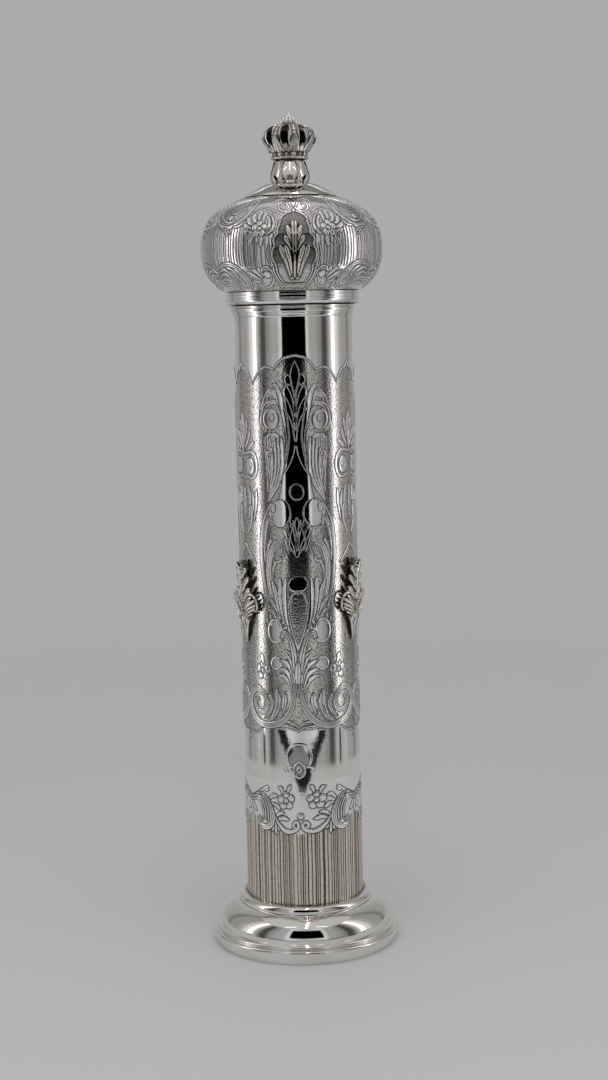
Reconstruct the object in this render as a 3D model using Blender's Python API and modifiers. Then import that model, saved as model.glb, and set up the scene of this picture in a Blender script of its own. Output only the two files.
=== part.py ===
"""Silver megillah case: a hollow tube on a spun foot, with a lift-off bulb lid and a crown.

The case stands on its foot with its axis on +Z. The front is towards -Y.
The origin is at the middle of the foot's underside.
"""

import math

import bmesh
import bpy

MM = 0.001

# Driving dimensions, in millimetres.
WALL = 0.8                # silver sheet of the foot, the tube and the bulb
GAP = 0.3                 # clearance between neighbouring pieces
TUBE_RADIUS = 30.0
TUBE_FLOOR_Z = 21.0
MOUTH_Z = 327.4           # the tube's open end
FOOT_TOP_Z = 25.5
FOOT_RADIUS = 47.9
FOOT_TREAD_RADIUS = 46.3  # where the foot meets the table
FLUTES_LOW_Z = 26.6
FLUTES_HIGH_Z = 63.0
FLUTE_DEPTH = 0.35
MOUTH_RING_LOW_Z = 321.4
SPIGOT_LENGTH = 11.7
RIM_RADIUS = 34.3
RIM_TOP_Z = 333.8
BULB_RADIUS = 45.4
BULB_MIDDLE_Z = 354.7
BULB_RISE = 28.0
BULB_DROP = 27.4
BULB_POWER = 2.4          # 2 would be an ellipse; more is fuller
CAP_RADIUS = 23.1
CAP_LOW_Z = 380.6
NECK_LOW_Z = 387.6
NECK_TOP_Z = 398.6
BAND_RADIUS = 9.4
BAND_TOP_Z = 403.5
CROWN_RADIUS = 12.4
CROWN_WAIST_Z = 410.0
CROWN_TOP_Z = 415.2
BUD_RADIUS = 4.2
TOTAL_HEIGHT = 422.0
LEAF_HEIGHT = 42.0        # the cast leaf on the tube
LEAF_LOW_Z = 158.0
LID_LEAF_HEIGHT = 28.6
LID_LEAF_LOW_Z = 338.0
LID_LEAF_RELIEF = 0.8     # the lid's leaves lie flatter than the tube's
CREST_LOW_Z = 90.5
CREST_HEIGHT = 20.5
CREST_WIDTH = 14.0

TURNED_STEPS = 32
TUBE_STEPS = 60
SMALL_STEPS = 20
ARCHES = 8
CALYX_LEAVES = 12
CALYX_POINT = 1.6         # how far a leaf of the calyx rises over the ring
LEAF_COUNT = 3
SHARP_DEGREES = 35.0

POLISHED = (0.87, 0.86, 0.83)
CHASED = (0.76, 0.74, 0.71)


def clear_scene():
    for thing in list(bpy.data.objects):
        bpy.data.objects.remove(thing, do_unlink=True)


def silver(name, colour, roughness):
    """A Principled metal."""
    material = bpy.data.materials.new(name)
    material.use_nodes = True
    shader = material.node_tree.nodes["Principled BSDF"]
    shader.inputs["Base Color"].default_value = (*colour, 1.0)
    shader.inputs["Metallic"].default_value = 1.0
    shader.inputs["Roughness"].default_value = roughness
    return material


def keep(thing, collection, colour, roughness):
    """Puts a finished piece in the collection, with a material of its own."""
    for old in list(thing.users_collection):
        old.objects.unlink(thing)
    collection.objects.link(thing)
    thing.data.materials.clear()
    thing.data.materials.append(silver(thing.name + "_silver", colour, roughness))
    return thing


def arc(centre, size, start, end, count):
    """Points on an elliptical arc in the (radius, height) plane, angles in degrees."""
    points = []
    for i in range(count + 1):
        angle = math.radians(start + (end - start) * i / count)
        points.append((centre[0] + size[0] * math.cos(angle),
                       centre[1] + size[1] * math.sin(angle)))
    return points


def turned(name, profile, steps, closed=True):
    """Turns a (radius, height) profile in millimetres about Z with a Screw modifier.

    The profile runs down its outer side. An open profile starts and ends on the axis.
    """
    edges = [(i, i + 1) for i in range(len(profile) - 1)]
    if closed:
        edges.append((len(profile) - 1, 0))
    mesh = bpy.data.meshes.new(name)
    mesh.from_pydata([(r * MM, 0.0, z * MM) for r, z in profile], edges, [])
    thing = bpy.data.objects.new(name, mesh)
    bpy.context.scene.collection.objects.link(thing)
    screw = thing.modifiers.new("turn", "SCREW")
    screw.axis = "Z"
    screw.angle = math.tau
    screw.steps = steps
    screw.render_steps = steps
    screw.use_merge_vertices = True
    screw.merge_threshold = 0.00001
    return thing


def made_mesh(thing):
    """Replaces an object by the mesh that its modifiers make, and returns it."""
    graph = bpy.context.evaluated_depsgraph_get()
    mesh = bpy.data.meshes.new_from_object(thing.evaluated_get(graph))
    solid = bpy.data.objects.new(thing.name, mesh)
    solid.matrix_world = thing.matrix_world
    bpy.context.scene.collection.objects.link(solid)
    name = thing.name
    bpy.data.objects.remove(thing, do_unlink=True)
    solid.name = name
    weld = bmesh.new()
    weld.from_mesh(mesh)
    bmesh.ops.remove_doubles(weld, verts=weld.verts, dist=0.000001)
    weld.to_mesh(mesh)
    weld.free()
    return solid


def finished(thing):
    """Applies what modifiers are left and shades the round surfaces smooth."""
    if thing.modifiers:
        thing = made_mesh(thing)
    thing.data.shade_smooth()
    thing.data.set_sharp_from_angle(angle=math.radians(SHARP_DEGREES))
    return thing


def united(name, solids):
    """One solid from several that overlap."""
    base = solids[0]
    for other in solids[1:]:
        join = base.modifiers.new("join", "BOOLEAN")
        join.operation = "UNION"
        join.solver = "EXACT"
        join.object = other
    base = made_mesh(base)
    for other in solids[1:]:
        bpy.data.objects.remove(other, do_unlink=True)
    base.name = name
    return base


def bulb_radius(z, inward=0.0):
    """The bulb's radius at a height, a superellipse; inward gives its inner wall."""
    reach = BULB_RISE if z > BULB_MIDDLE_Z else BULB_DROP
    share = min(1.0, abs(z - BULB_MIDDLE_Z) / (reach - inward))
    return (BULB_RADIUS - inward) * (1.0 - share ** BULB_POWER) ** (1.0 / BULB_POWER)


def foot():
    rim = arc((FOOT_RADIUS - 1.3, 5.9), (1.3, 1.3), 75, 0, 2)
    step = arc((45.1, 8.2), (1.2, 1.0), 80, -45, 2)
    lower_round = arc((32.6, 9.7), (11.5, 11.5), 35, 0, 4)
    upper_round = arc((30.55, 8.27), (14.0, 14.0), 74, 44, 3)
    bead = arc((31.6, 22.4), (2.8, 3.1), 80, 0, 3)
    outer = [(TUBE_RADIUS + GAP, FOOT_TOP_Z)] + bead + upper_round + lower_round + step
    outer += rim + [(FOOT_TREAD_RADIUS, 0.0)]
    inner = [(FOOT_TREAD_RADIUS - WALL, 0.0), (FOOT_RADIUS - 1.3, 5.8)]
    inner += arc((32.6, 9.0), (11.5 - WALL, 11.7), 0, 66, 4)
    inner += [(TUBE_RADIUS + GAP, 21.4)]
    return turned("foot", outer + inner, TURNED_STEPS)


def case_tube():
    """The tube with its floor; the low band has sunk flutes all round."""
    inside = TUBE_RADIUS - WALL
    profile = [(0.0, TUBE_FLOOR_Z + WALL), (inside, TUBE_FLOOR_Z + WALL), (inside, MOUTH_Z),
               (TUBE_RADIUS, MOUTH_Z), (TUBE_RADIUS, FLUTES_HIGH_Z),
               (TUBE_RADIUS, FLUTES_LOW_Z), (TUBE_RADIUS, TUBE_FLOOR_Z),
               (0.0, TUBE_FLOOR_Z)]
    tube = made_mesh(turned("case_tube", profile, TUBE_STEPS, closed=False))
    carve = bmesh.new()
    carve.from_mesh(tube.data)
    middle = (FLUTES_LOW_Z + FLUTES_HIGH_Z) / 2 * MM
    band = [f for f in carve.faces
            if abs(f.calc_center_median().z - middle) < 0.001
            and f.calc_center_median().to_2d().length > (TUBE_RADIUS - WALL / 2) * MM]
    bmesh.ops.inset_individual(carve, faces=band, thickness=FLUTE_DEPTH * MM,
                               depth=-FLUTE_DEPTH * MM)
    carve.to_mesh(tube.data)
    carve.free()
    return tube


def mouth_ring():
    inside = TUBE_RADIUS + GAP
    outer = [(31.2, MOUTH_Z), (31.5, 326.9), (31.4, 326.1), (31.1, 325.9), (31.7, 325.2),
             (31.7, 324.3), (31.1, 322.4), (inside + 0.2, MOUTH_RING_LOW_Z)]
    inner = [(inside, MOUTH_RING_LOW_Z), (inside, MOUTH_Z)]
    return turned("mouth_ring", outer + inner, TURNED_STEPS)


def lid_rim():
    """Three ridges outside, and the spigot that goes down into the tube."""
    seat = MOUTH_Z + GAP
    spigot = TUBE_RADIUS - WALL - GAP
    outer = [(33.7, RIM_TOP_Z), (33.9, 332.6), (33.5, 332.3), (34.1, 332.0), (34.1, 330.9),
             (33.7, 330.6), (RIM_RADIUS, 330.2), (RIM_RADIUS - 0.2, 329.5), (33.2, seat)]
    inner = [(spigot, seat), (spigot, seat - SPIGOT_LENGTH),
             (spigot - WALL, seat - SPIGOT_LENGTH), (spigot - WALL, RIM_TOP_Z)]
    return turned("lid_rim", outer + inner, TURNED_STEPS)


def lid_dome():
    low, high = RIM_TOP_Z + GAP, CAP_LOW_Z - GAP
    rows = 8
    # The heights are bunched where the bulb turns in, at both of its ends.
    heights = [low + (high - low) * (1 - math.cos(math.pi * i / rows)) / 2
               for i in range(rows + 1)]
    outer = [(bulb_radius(z), z) for z in reversed(heights)]
    inner = [(bulb_radius(z, WALL), z) for z in heights]
    return turned("lid_dome", outer + inner, TURNED_STEPS)


def lid_cap():
    outer = [(0.0, NECK_LOW_Z - GAP), (8.6, NECK_LOW_Z - GAP), (11.6, 386.8), (15.0, 385.4),
             (18.0, 383.9), (20.4, 382.6), (22.0, 381.6), (CAP_RADIUS, CAP_LOW_Z)]
    inner = [(CAP_RADIUS - WALL, CAP_LOW_Z), (18.0, 383.9 - WALL), (11.6, 386.1),
             (8.0, 386.5), (0.0, 386.5)]
    return turned("lid_cap", outer + inner, TURNED_STEPS, closed=False)


def finial_neck():
    """Bell-shaped shell, open below and closed under the crown."""
    outer = [(0.0, NECK_TOP_Z), (7.0, NECK_TOP_Z), (7.6, 396.8), (8.3, 395.0), (9.1, 392.2),
             (9.4, 390.4), (8.7, 388.8), (7.8, NECK_LOW_Z)]
    inner = [(7.8 - WALL, NECK_LOW_Z), (8.4, 390.3), (7.4, 394.6), (6.1, NECK_TOP_Z - WALL),
             (0.0, NECK_TOP_Z - WALL)]
    return turned("finial_neck", outer + inner, SMALL_STEPS, closed=False)


def neck_calyx():
    """A ring round the foot of the neck whose upper edge rises into leaf points."""
    ring = [(10.5, 389.7), (10.0, 388.3), (9.1, NECK_LOW_Z), (8.3, NECK_LOW_Z),
            (9.5, 389.0), (10.0, 389.9)]
    calyx = made_mesh(turned("neck_calyx", ring, 2 * CALYX_LEAVES))
    for vertex in calyx.data.vertices:
        if vertex.co.z > 389.4 * MM:
            turn = math.atan2(vertex.co.y, vertex.co.x) * CALYX_LEAVES
            vertex.co.z += CALYX_POINT * (0.5 + 0.5 * math.cos(turn)) * MM
    return calyx


def crown_arch(azimuth):
    """One arch: out and up from the band, then over and in to the bud."""
    path = [(9.0, BAND_TOP_Z - 0.8), (10.4, 405.2), (CROWN_RADIUS - 0.4, 407.6),
            (CROWN_RADIUS, CROWN_WAIST_Z), (CROWN_RADIUS - 1.0, 412.9), (8.4, 414.9),
            (4.8, CROWN_TOP_Z), (1.6, CROWN_TOP_Z + 0.5)]
    curve = bpy.data.curves.new("crown_arch", "CURVE")
    curve.dimensions = "3D"
    curve.bevel_depth = 1.05 * MM
    curve.bevel_resolution = 0
    curve.use_fill_caps = True
    spline = curve.splines.new("POLY")
    spline.points.add(len(path) - 1)
    for point, (r, z) in zip(spline.points, path):
        point.co = (r * MM * math.cos(azimuth), r * MM * math.sin(azimuth), z * MM, 1.0)
    arch = bpy.data.objects.new("crown_arch", curve)
    bpy.context.scene.collection.objects.link(arch)
    bpy.context.view_layer.update()
    return made_mesh(arch)


def crown():
    band = turned("crown", [(BAND_RADIUS - 0.3, BAND_TOP_Z), (BAND_RADIUS, 402.8),
                            (BAND_RADIUS - 0.5, 401.0), (BAND_RADIUS - 0.1, 399.6),
                            (BAND_RADIUS - 0.6, NECK_TOP_Z + GAP), (8.2, NECK_TOP_Z + GAP),
                            (8.2, BAND_TOP_Z)], SMALL_STEPS)
    bud = turned("bud", [(0.0, TOTAL_HEIGHT), (0.9, 420.9), (2.5, 419.7),
                         (BUD_RADIUS, 417.1), (3.5, 416.2), (2.6, CROWN_TOP_Z - 0.8),
                         (0.0, CROWN_TOP_Z - 0.8)], 12, closed=False)
    solids = [made_mesh(band), made_mesh(bud)]
    for i in range(ARCHES):
        solids.append(crown_arch(math.tau * (i + 0.5) / ARCHES))
    return united("crown", solids)


def lobe(path, width, thickness):
    """A leaf lobe: a small sphere drawn out along a path of (side, up, out) points."""
    shape = bmesh.new()
    bmesh.ops.create_uvsphere(shape, u_segments=6, v_segments=4, radius=1.0)
    last = len(path) - 1
    for vertex in shape.verts:
        along = (vertex.co.z + 1.0) / 2.0 * last
        i = min(int(along), last - 1)
        side, up, out = (a + (b - a) * (along - i) for a, b in zip(path[i], path[i + 1]))
        vertex.co = (side + vertex.co.x * width, up, out + vertex.co.y * thickness)
    bmesh.ops.recalc_face_normals(shape, faces=shape.faces)
    mesh = bpy.data.meshes.new("lobe")
    shape.to_mesh(mesh)
    shape.free()
    solid = bpy.data.objects.new("lobe", mesh)
    bpy.context.scene.collection.objects.link(solid)
    return solid


def cast_leaf(name):
    """The three-part acanthus leaf, flat, in (side, up, out) units of millimetres."""
    lobes = [lobe([(0, 0.5, 1.1), (0, 11, 1.6), (0, 23, 2.6)], 2.6, 1.2),
             lobe([(0, 15, 2.2), (0, 26, 2.6), (0, 35, 3.0), (0, 42, 4.2)], 3.9, 1.3)]
    for side in (-1, 1):
        lobes.append(lobe([(side * 0.5, 9, 2.0), (side * 4.5, 17, 2.6),
                           (side * 7.6, 24, 2.2)], 3.0, 1.3))
        lobes.append(lobe([(side * 0.3, 19, 2.5), (side * 3.2, 28, 2.7),
                           (side * 4.8, 35, 2.9)], 2.3, 1.2))
    return united(name, lobes)


def placed_leaves(kind, height, low_z, relief, surface, first_azimuth, collection):
    """Bends the flat leaf to a round surface, then sets three of it round the axis."""
    leaf = cast_leaf(kind + "_1")
    scale = height / LEAF_HEIGHT
    for vertex in leaf.data.vertices:
        side, up, out = vertex.co * scale
        z = low_z + up
        reach = surface(z) + GAP + out * relief
        azimuth = side / surface(z)
        vertex.co = (reach * math.sin(azimuth) * MM, -reach * math.cos(azimuth) * MM, z * MM)
    turn = bmesh.new()
    turn.from_mesh(leaf.data)
    bmesh.ops.recalc_face_normals(turn, faces=turn.faces)
    turn.to_mesh(leaf.data)
    turn.free()
    finished(leaf)
    for i in range(LEAF_COUNT):
        piece = leaf
        if i > 0:
            piece = bpy.data.objects.new(f"{kind}_{i + 1}", leaf.data.copy())
        piece.rotation_euler.z = math.radians(first_azimuth + i * 360.0 / LEAF_COUNT)
        keep(piece, collection, CHASED, 0.28)


def tube_crest():
    """A blank shield with an arched top and a drop below, bent to the tube."""
    bpy.ops.mesh.primitive_grid_add(x_subdivisions=4, y_subdivisions=8, size=1.0)
    crest = bpy.context.active_object
    crest.name = "tube_crest"
    for vertex in crest.data.vertices:
        share = vertex.co.y + 0.5
        # The outline narrows to a waist above the drop and closes in an arch on top.
        body = math.sin(math.pi * min(1.0, 0.18 + 0.62 * share)) ** 0.6
        waist = 1.0 - 0.35 * math.exp(-((share - 0.28) / 0.1) ** 2)
        side = vertex.co.x * CREST_WIDTH * body * waist
        z = CREST_LOW_Z + share * CREST_HEIGHT * (1.0 - 0.12 * (2 * vertex.co.x) ** 2)
        reach = TUBE_RADIUS + GAP
        azimuth = side / reach
        vertex.co = (reach * math.sin(azimuth) * MM, -reach * math.cos(azimuth) * MM, z * MM)
    thicken = crest.modifiers.new("thicken", "SOLIDIFY")
    thicken.thickness = 0.9 * MM
    thicken.offset = 1.0
    return crest


def build():
    clear_scene()
    parts = bpy.data.collections.new("megillah_case")
    bpy.context.scene.collection.children.link(parts)
    for make in (foot, mouth_ring, lid_rim, lid_cap, finial_neck, crown):
        keep(finished(make()), parts, POLISHED, 0.1)
    for make in (case_tube, lid_dome, neck_calyx, tube_crest):
        keep(finished(make()), parts, CHASED, 0.28)
    placed_leaves("tube_leaf", LEAF_HEIGHT, LEAF_LOW_Z, 1.0, lambda z: TUBE_RADIUS, 60.0,
                  parts)
    placed_leaves("lid_leaf", LID_LEAF_HEIGHT, LID_LEAF_LOW_Z, LID_LEAF_RELIEF, bulb_radius,
                  0.0, parts)


build()
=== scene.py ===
# %% [markdown]
# # A silver megillah case
#
# The real object is a tall silver tube that holds a rolled scroll. It stands on a spun foot.
# A bulb-shaped lid with a small open crown lifts off the top. Nearly the whole surface is
# chased: leaves, scrolls and flowers are pushed up with punches, the ground between them is
# matted, and the sunk lines are darkened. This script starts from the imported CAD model, which
# gives every size and place, and makes each visible surface from it.

# %% Load the frame and measure it
import math

import bpy
import numpy as np
from mathutils import Matrix, Vector


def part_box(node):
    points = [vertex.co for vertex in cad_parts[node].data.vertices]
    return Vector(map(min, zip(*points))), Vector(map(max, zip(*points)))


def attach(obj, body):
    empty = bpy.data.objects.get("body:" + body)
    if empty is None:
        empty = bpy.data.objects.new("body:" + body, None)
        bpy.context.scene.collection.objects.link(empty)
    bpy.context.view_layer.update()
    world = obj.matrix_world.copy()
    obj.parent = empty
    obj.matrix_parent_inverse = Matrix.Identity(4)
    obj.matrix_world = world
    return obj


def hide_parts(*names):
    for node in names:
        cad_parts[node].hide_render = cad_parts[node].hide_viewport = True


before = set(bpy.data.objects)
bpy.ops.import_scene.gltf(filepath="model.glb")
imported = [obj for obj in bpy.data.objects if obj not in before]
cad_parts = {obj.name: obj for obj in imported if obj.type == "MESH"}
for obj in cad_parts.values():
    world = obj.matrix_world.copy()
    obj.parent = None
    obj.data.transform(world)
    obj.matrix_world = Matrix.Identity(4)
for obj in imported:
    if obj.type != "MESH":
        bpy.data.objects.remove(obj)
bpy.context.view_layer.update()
MM = 0.001
size = {name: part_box(name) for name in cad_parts}


def top(name):
    """The highest z of a CAD node, in millimetres."""
    return size[name][1].z / MM


def bottom(name):
    """The lowest z of a CAD node, in millimetres."""
    return size[name][0].z / MM


def reach(name):
    """The largest x of a CAD node, in millimetres: its radius where it is turned."""
    return size[name][1].x / MM


TUBE_RADIUS = reach("case_tube")
BULB_RADIUS = reach("lid_dome")
print("tube radius", round(TUBE_RADIUS, 2), "bulb radius", round(BULB_RADIUS, 2))
for name in sorted(size):
    print(name, "z", round(bottom(name), 1), "to", round(top(name), 1))

# %% [markdown]
# ## Colours and nodes
#
# Every colour is written as the hex value a colour picker shows, and one function turns it to
# the linear light that Blender works in. One more function adds a shader node with its
# settings and links, so that each material reads as a short list of steps.

# %% Colour and node helpers


def colour(code):
    """A hex colour such as "c8c4bc" as linear red, green, blue and alpha."""
    parts = [int(code[i:i + 2], 16) / 255 for i in (0, 2, 4)]
    linear = [p / 12.92 if p <= 0.04045 else ((p + 0.055) / 1.055) ** 2.4 for p in parts]
    return (*linear, 1.0)


def node(tree, kind, inputs=None, **settings):
    """Adds a shader node; an input is given a value or the output socket that feeds it."""
    made = tree.nodes.new(kind)
    for key, value in settings.items():
        setattr(made, key, value)
    for key, value in (inputs or {}).items():
        socket = made.inputs[key]
        if isinstance(value, bpy.types.NodeSocket):
            tree.links.new(value, socket)
        else:
            socket.default_value = value
    return made


def math_node(tree, operation, first, second):
    """The result of a sum on two values; either may be a socket."""
    made = node(tree, "ShaderNodeMath", {0: first, 1: second}, operation=operation)
    return made.outputs["Value"]


def ramp(tree, factor, stops):
    """A colour ramp through (place, grey or hex colour) stops; returns its colour output."""
    made = node(tree, "ShaderNodeValToRGB", {"Fac": factor})
    elements = made.color_ramp.elements
    while len(elements) < len(stops):
        elements.new(0.5)
    for element, (place, shade) in zip(elements, stops):
        element.position = place
        element.color = colour(shade) if isinstance(shade, str) else (shade, shade, shade, 1.0)
    return made.outputs["Color"]


def new_material(name):
    """A new material, its node tree and its shader."""
    material = bpy.data.materials.new(name)
    material.use_nodes = True
    return material, material.node_tree, material.node_tree.nodes["Principled BSDF"]


def metal(tree, shader, base, rough, normal):
    """Makes the shader a metal, fed by a colour, a roughness and a normal."""
    shader.inputs["Metallic"].default_value = 1.0
    for key, socket in (("Base Color", base), ("Roughness", rough), ("Normal", normal)):
        tree.links.new(socket, shader.inputs[key])


print("white is", colour("ffffff"), "and silver's dark oxide is", colour("2a2826"))

# %% [markdown]
# ## The silver
#
# All of the case is sterling silver, but it was finished in four ways. The foot, the cap and
# the rings were polished on a wheel, which leaves a mirror with a faint waviness. The chased
# sheet has polished high places, a ground matted with a small punch, and dark oxide in its
# sunk lines. The fluted bands were left a little dull and warm. The cast leaves and the crown
# came out of a mould, so they are grainier and dark in their hollows. A metal keeps the
# default IOR. What differs from place to place on the chased sheet is stored on its mesh as
# two attributes, "oxide" and "matt", which the materials read.

# %% The polished silver
SILVER = "f5f4f2"
WARM_SILVER = "e8e4dc"
GROUND = "e2e0dc"
GROUND_OXIDE = "403e3b"
OXIDE = "1b1917"
WHEEL_WAVE_MM = 14.0    # the width of the slight waves that a polishing wheel leaves
HAIRLINE_MM = 0.9       # hairlines are finer than this, drawn so that they can be seen
TARNISH_MM = 22.0       # the width of the slightly warmer patches
PUNCH_MM = 0.9          # the matting punch marks, drawn coarse enough to show
HAMMER_MM = 5.0         # the unevenness that hammering leaves in the chased sheet
WORN_MM = 9.0           # the width of the patches that handling has warmed in colour


def object_noise(tree, size_mm, detail=2.0, stretch=(1.0, 1.0, 1.0)):
    """Noise whose waves are about size_mm wide, on Object coordinates."""
    place = node(tree, "ShaderNodeTexCoord").outputs["Object"]
    scale = [s / (size_mm * MM) for s in stretch]
    spread = node(tree, "ShaderNodeMapping", {"Vector": place, "Scale": scale})
    made = node(tree, "ShaderNodeTexNoise", {
        "Vector": spread.outputs["Vector"], "Scale": 1.0, "Detail": detail})
    return made.outputs["Fac"]


def polished_silver():
    """Sterling silver, wheel-polished: a warm white mirror with faint waves and hairlines."""
    material, tree, shader = new_material("silver_wheel_polished")
    wave = object_noise(tree, WHEEL_WAVE_MM, 1.0)
    bump = node(tree, "ShaderNodeBump", {
        "Height": wave, "Strength": 0.3, "Distance": 0.06 * MM})
    tint = ramp(tree, object_noise(tree, TARNISH_MM, 3.0), [(0.3, SILVER), (0.7, WARM_SILVER)])
    rough = ramp(tree, object_noise(tree, HAIRLINE_MM, 2.0, (1.0, 1.0, 6.0)),
                 [(0.35, 0.035), (0.75, 0.10)])
    metal(tree, shader, tint, rough, bump.outputs["Normal"])
    return material


POLISHED = polished_silver()
print("made", POLISHED.name)

# %% The chased silver


def read(tree, name):
    """The value of a mesh attribute."""
    return node(tree, "ShaderNodeAttribute", attribute_name=name).outputs["Fac"]


def mixed(tree, factor, first, second):
    """Mixes two colours; either may be a hex colour or a socket."""
    made = node(tree, "ShaderNodeMix", data_type="RGBA")
    tree.links.new(factor, made.inputs["Factor"])
    for key, value in (("A", first), ("B", second)):
        socket = [s for s in made.inputs if s.name == key and s.type == "RGBA"][0]
        if isinstance(value, bpy.types.NodeSocket):
            tree.links.new(value, socket)
        else:
            socket.default_value = colour(value)
    return [s for s in made.outputs if s.type == "RGBA"][0]


def punch_marks(tree):
    """Small round dents side by side: 0 in a dent's middle, 1 at its rim."""
    place = node(tree, "ShaderNodeTexCoord").outputs["Object"]
    return node(tree, "ShaderNodeTexVoronoi", {
        "Vector": place, "Scale": 1.0 / (PUNCH_MM * MM)}).outputs["Distance"]


def chased_silver(name, bright, ground, ground_oxide, high_rough, ground_rough, dent_mm=0.07):
    """Sterling silver, chased: polished high places, matted ground, oxide in the lines."""
    material, tree, shader = new_material(name)
    matt, oxide, dents = read(tree, "matt"), read(tree, "oxide"), punch_marks(tree)
    # The ground's dents hold a little oxide, so the matting looks speckled.
    speckle = ramp(tree, dents, [(0.18, ground_oxide), (0.46, ground)])
    base = mixed(tree, matt, bright, speckle)
    smudge = ramp(tree, object_noise(tree, WORN_MM, 3.0), [(0.4, 0.0), (0.8, 0.3)])
    dark = mixed(tree, oxide, mixed(tree, smudge, base, WARM_SILVER), OXIDE)
    rough = node(tree, "ShaderNodeMapRange", {
        "Value": matt, "To Min": high_rough, "To Max": ground_rough}).outputs["Result"]
    rough = math_node(tree, "MINIMUM", math_node(tree, "MAXIMUM", rough, oxide), 0.6)
    bump = node(tree, "ShaderNodeBump", {
        "Height": math_node(tree, "MULTIPLY", dents, matt), "Strength": 0.5,
        "Distance": dent_mm * MM})
    wave = node(tree, "ShaderNodeBump", {
        "Height": object_noise(tree, HAMMER_MM, 2.0), "Strength": 0.35,
        "Distance": 0.05 * MM, "Normal": bump.outputs["Normal"]})
    metal(tree, shader, dark, rough, wave.outputs["Normal"])
    return material


CHASED = chased_silver("silver_chased_oxidised", SILVER, GROUND, GROUND_OXIDE, 0.06, 0.15)
FLUTED = chased_silver("silver_fluted_satin", SILVER, "f2e8db", "c3b5a6", 0.06, 0.24, 0.03)
CAST = chased_silver("silver_cast_oxidised", "f3efe8", "a8a49d", "75726d", 0.13, 0.25)
print("made", CHASED.name, FLUTED.name, CAST.name)

# %% [markdown]
# ## A sheet to draw the chasing on
#
# A silversmith draws the ornament on flat sheet before the sheet is bent round. This script
# does the same. A sheet holds layers over a fine grid: the relief in millimetres, the oxide
# in the sunk lines, the matting of the ground, and the distance to the nearest raised shape.
# Every leaf, scroll and line is one kind of stroke: a curve through a few points, with a
# width that swells and tapers, a rounded top that may be split into ribs, and a dark groove
# all round where the punch sank the ground. A later stroke lies over an earlier one, as on
# the real sheet.

# %% The sheet
CELL_MM = 0.12          # the sheet's grid, finer than any mesh that reads it
GROOVE_MM = 0.42        # the sunk line that runs round every raised shape
GROOVE_DEPTH_MM = 0.18
GROOVE_DARK = 2.4       # over 1, so that the groove is quite dark before its bottom
RIB_LINE_MM = 0.26      # the half width of the creases between ribs
CUT_MM = 0.12           # the depth of an engraved line, and how far its slopes reach
SPARE_MM = 2.0          # the sheet goes on this far past the drawing
FAR_MM = 9.0            # nothing raised is nearer than this on a blank sheet
# How a stroke swells and tapers: (share of its length, share of its half width) pairs.
STEM = ((0, 0.75), (0.3, 1), (1, 0.6))
LEAF = ((0, 0.3), (0.35, 0.7), (0.72, 1), (0.9, 0.75), (1, 0.3))
POINTED = ((0, 0.35), (0.45, 0.9), (0.65, 1), (0.85, 0.6), (1, 0.05))
EVEN = ((0, 1), (1, 1))
BLADE = ((0, 0.45), (0.4, 0.85), (0.75, 1), (0.92, 0.8), (1, 0.45))
HANGING = tuple((1 - place, width) for place, width in reversed(LEAF))


class Sheet:
    """Flat silver, marked out in degrees round the axis and millimetres of height."""

    def __init__(self, widest_degrees, low, high, radius, height_of=lambda z: z,
                 groove=GROOVE_MM):
        self.mm_per_degree = math.radians(1.0) * radius
        self.groove = groove
        self.height_of = height_of
        wide = widest_degrees * self.mm_per_degree
        self.x = np.arange(-SPARE_MM, wide + SPARE_MM, CELL_MM)
        self.z = np.arange(height_of(low) - SPARE_MM, height_of(high) + SPARE_MM, CELL_MM)
        shape = (len(self.z), len(self.x))
        self.relief = np.zeros(shape)
        self.oxide = np.zeros(shape)
        self.matt = np.zeros(shape)
        self.gap = np.full(shape, FAR_MM)   # the distance to the nearest raised shape

    def flat(self, points):
        """Points in degrees and height as points in millimetres on the sheet."""
        return np.array([(a * self.mm_per_degree, self.height_of(z)) for a, z in points])

    def window(self, low, high):
        """The slices of the grid between two corners."""
        first = np.maximum(((low - (self.x[0], self.z[0])) / CELL_MM).astype(int), 0)
        last = ((high - (self.x[0], self.z[0])) / CELL_MM).astype(int) + 2
        return (slice(first[1], max(last[1], 0)), slice(first[0], max(last[0], 0)))

    def read(self, layer, x, z):
        """A layer's values at points of the sheet, smoothly between its cells."""
        column = np.clip((x - self.x[0]) / CELL_MM, 0, len(self.x) - 1.001)
        row = np.clip((z - self.z[0]) / CELL_MM, 0, len(self.z) - 1.001)
        i, j = row.astype(int), column.astype(int)
        v, u = row - i, column - j
        return ((layer[i, j] * (1 - u) + layer[i, j + 1] * u) * (1 - v)
                + (layer[i + 1, j] * (1 - u) + layer[i + 1, j + 1] * u) * v)

    def surface(self, x, z):
        """The relief, the oxide and the matting at points of the sheet."""
        return [self.read(layer, x, z) for layer in (self.relief, self.oxide, self.matt)]

    def raise_shape(self, area, inside, lift, dark, matt, fade):
        """Raises the cells inside a shape; fade grows from 0 to 1 across the groove round it."""
        relief, oxide, ground = self.relief[area], self.oxide[area], self.matt[area]
        ring = ~inside & (fade < 1)
        relief[ring] = (relief * fade - GROOVE_DEPTH_MM * (1 - fade))[ring]
        sunk = np.clip(GROOVE_DARK * (1 - fade), 0, 1)
        oxide[ring] = np.maximum(oxide * fade, sunk)[ring]
        relief[inside] = lift[inside]
        oxide[inside] = dark[inside]
        ground[inside] = matt


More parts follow.
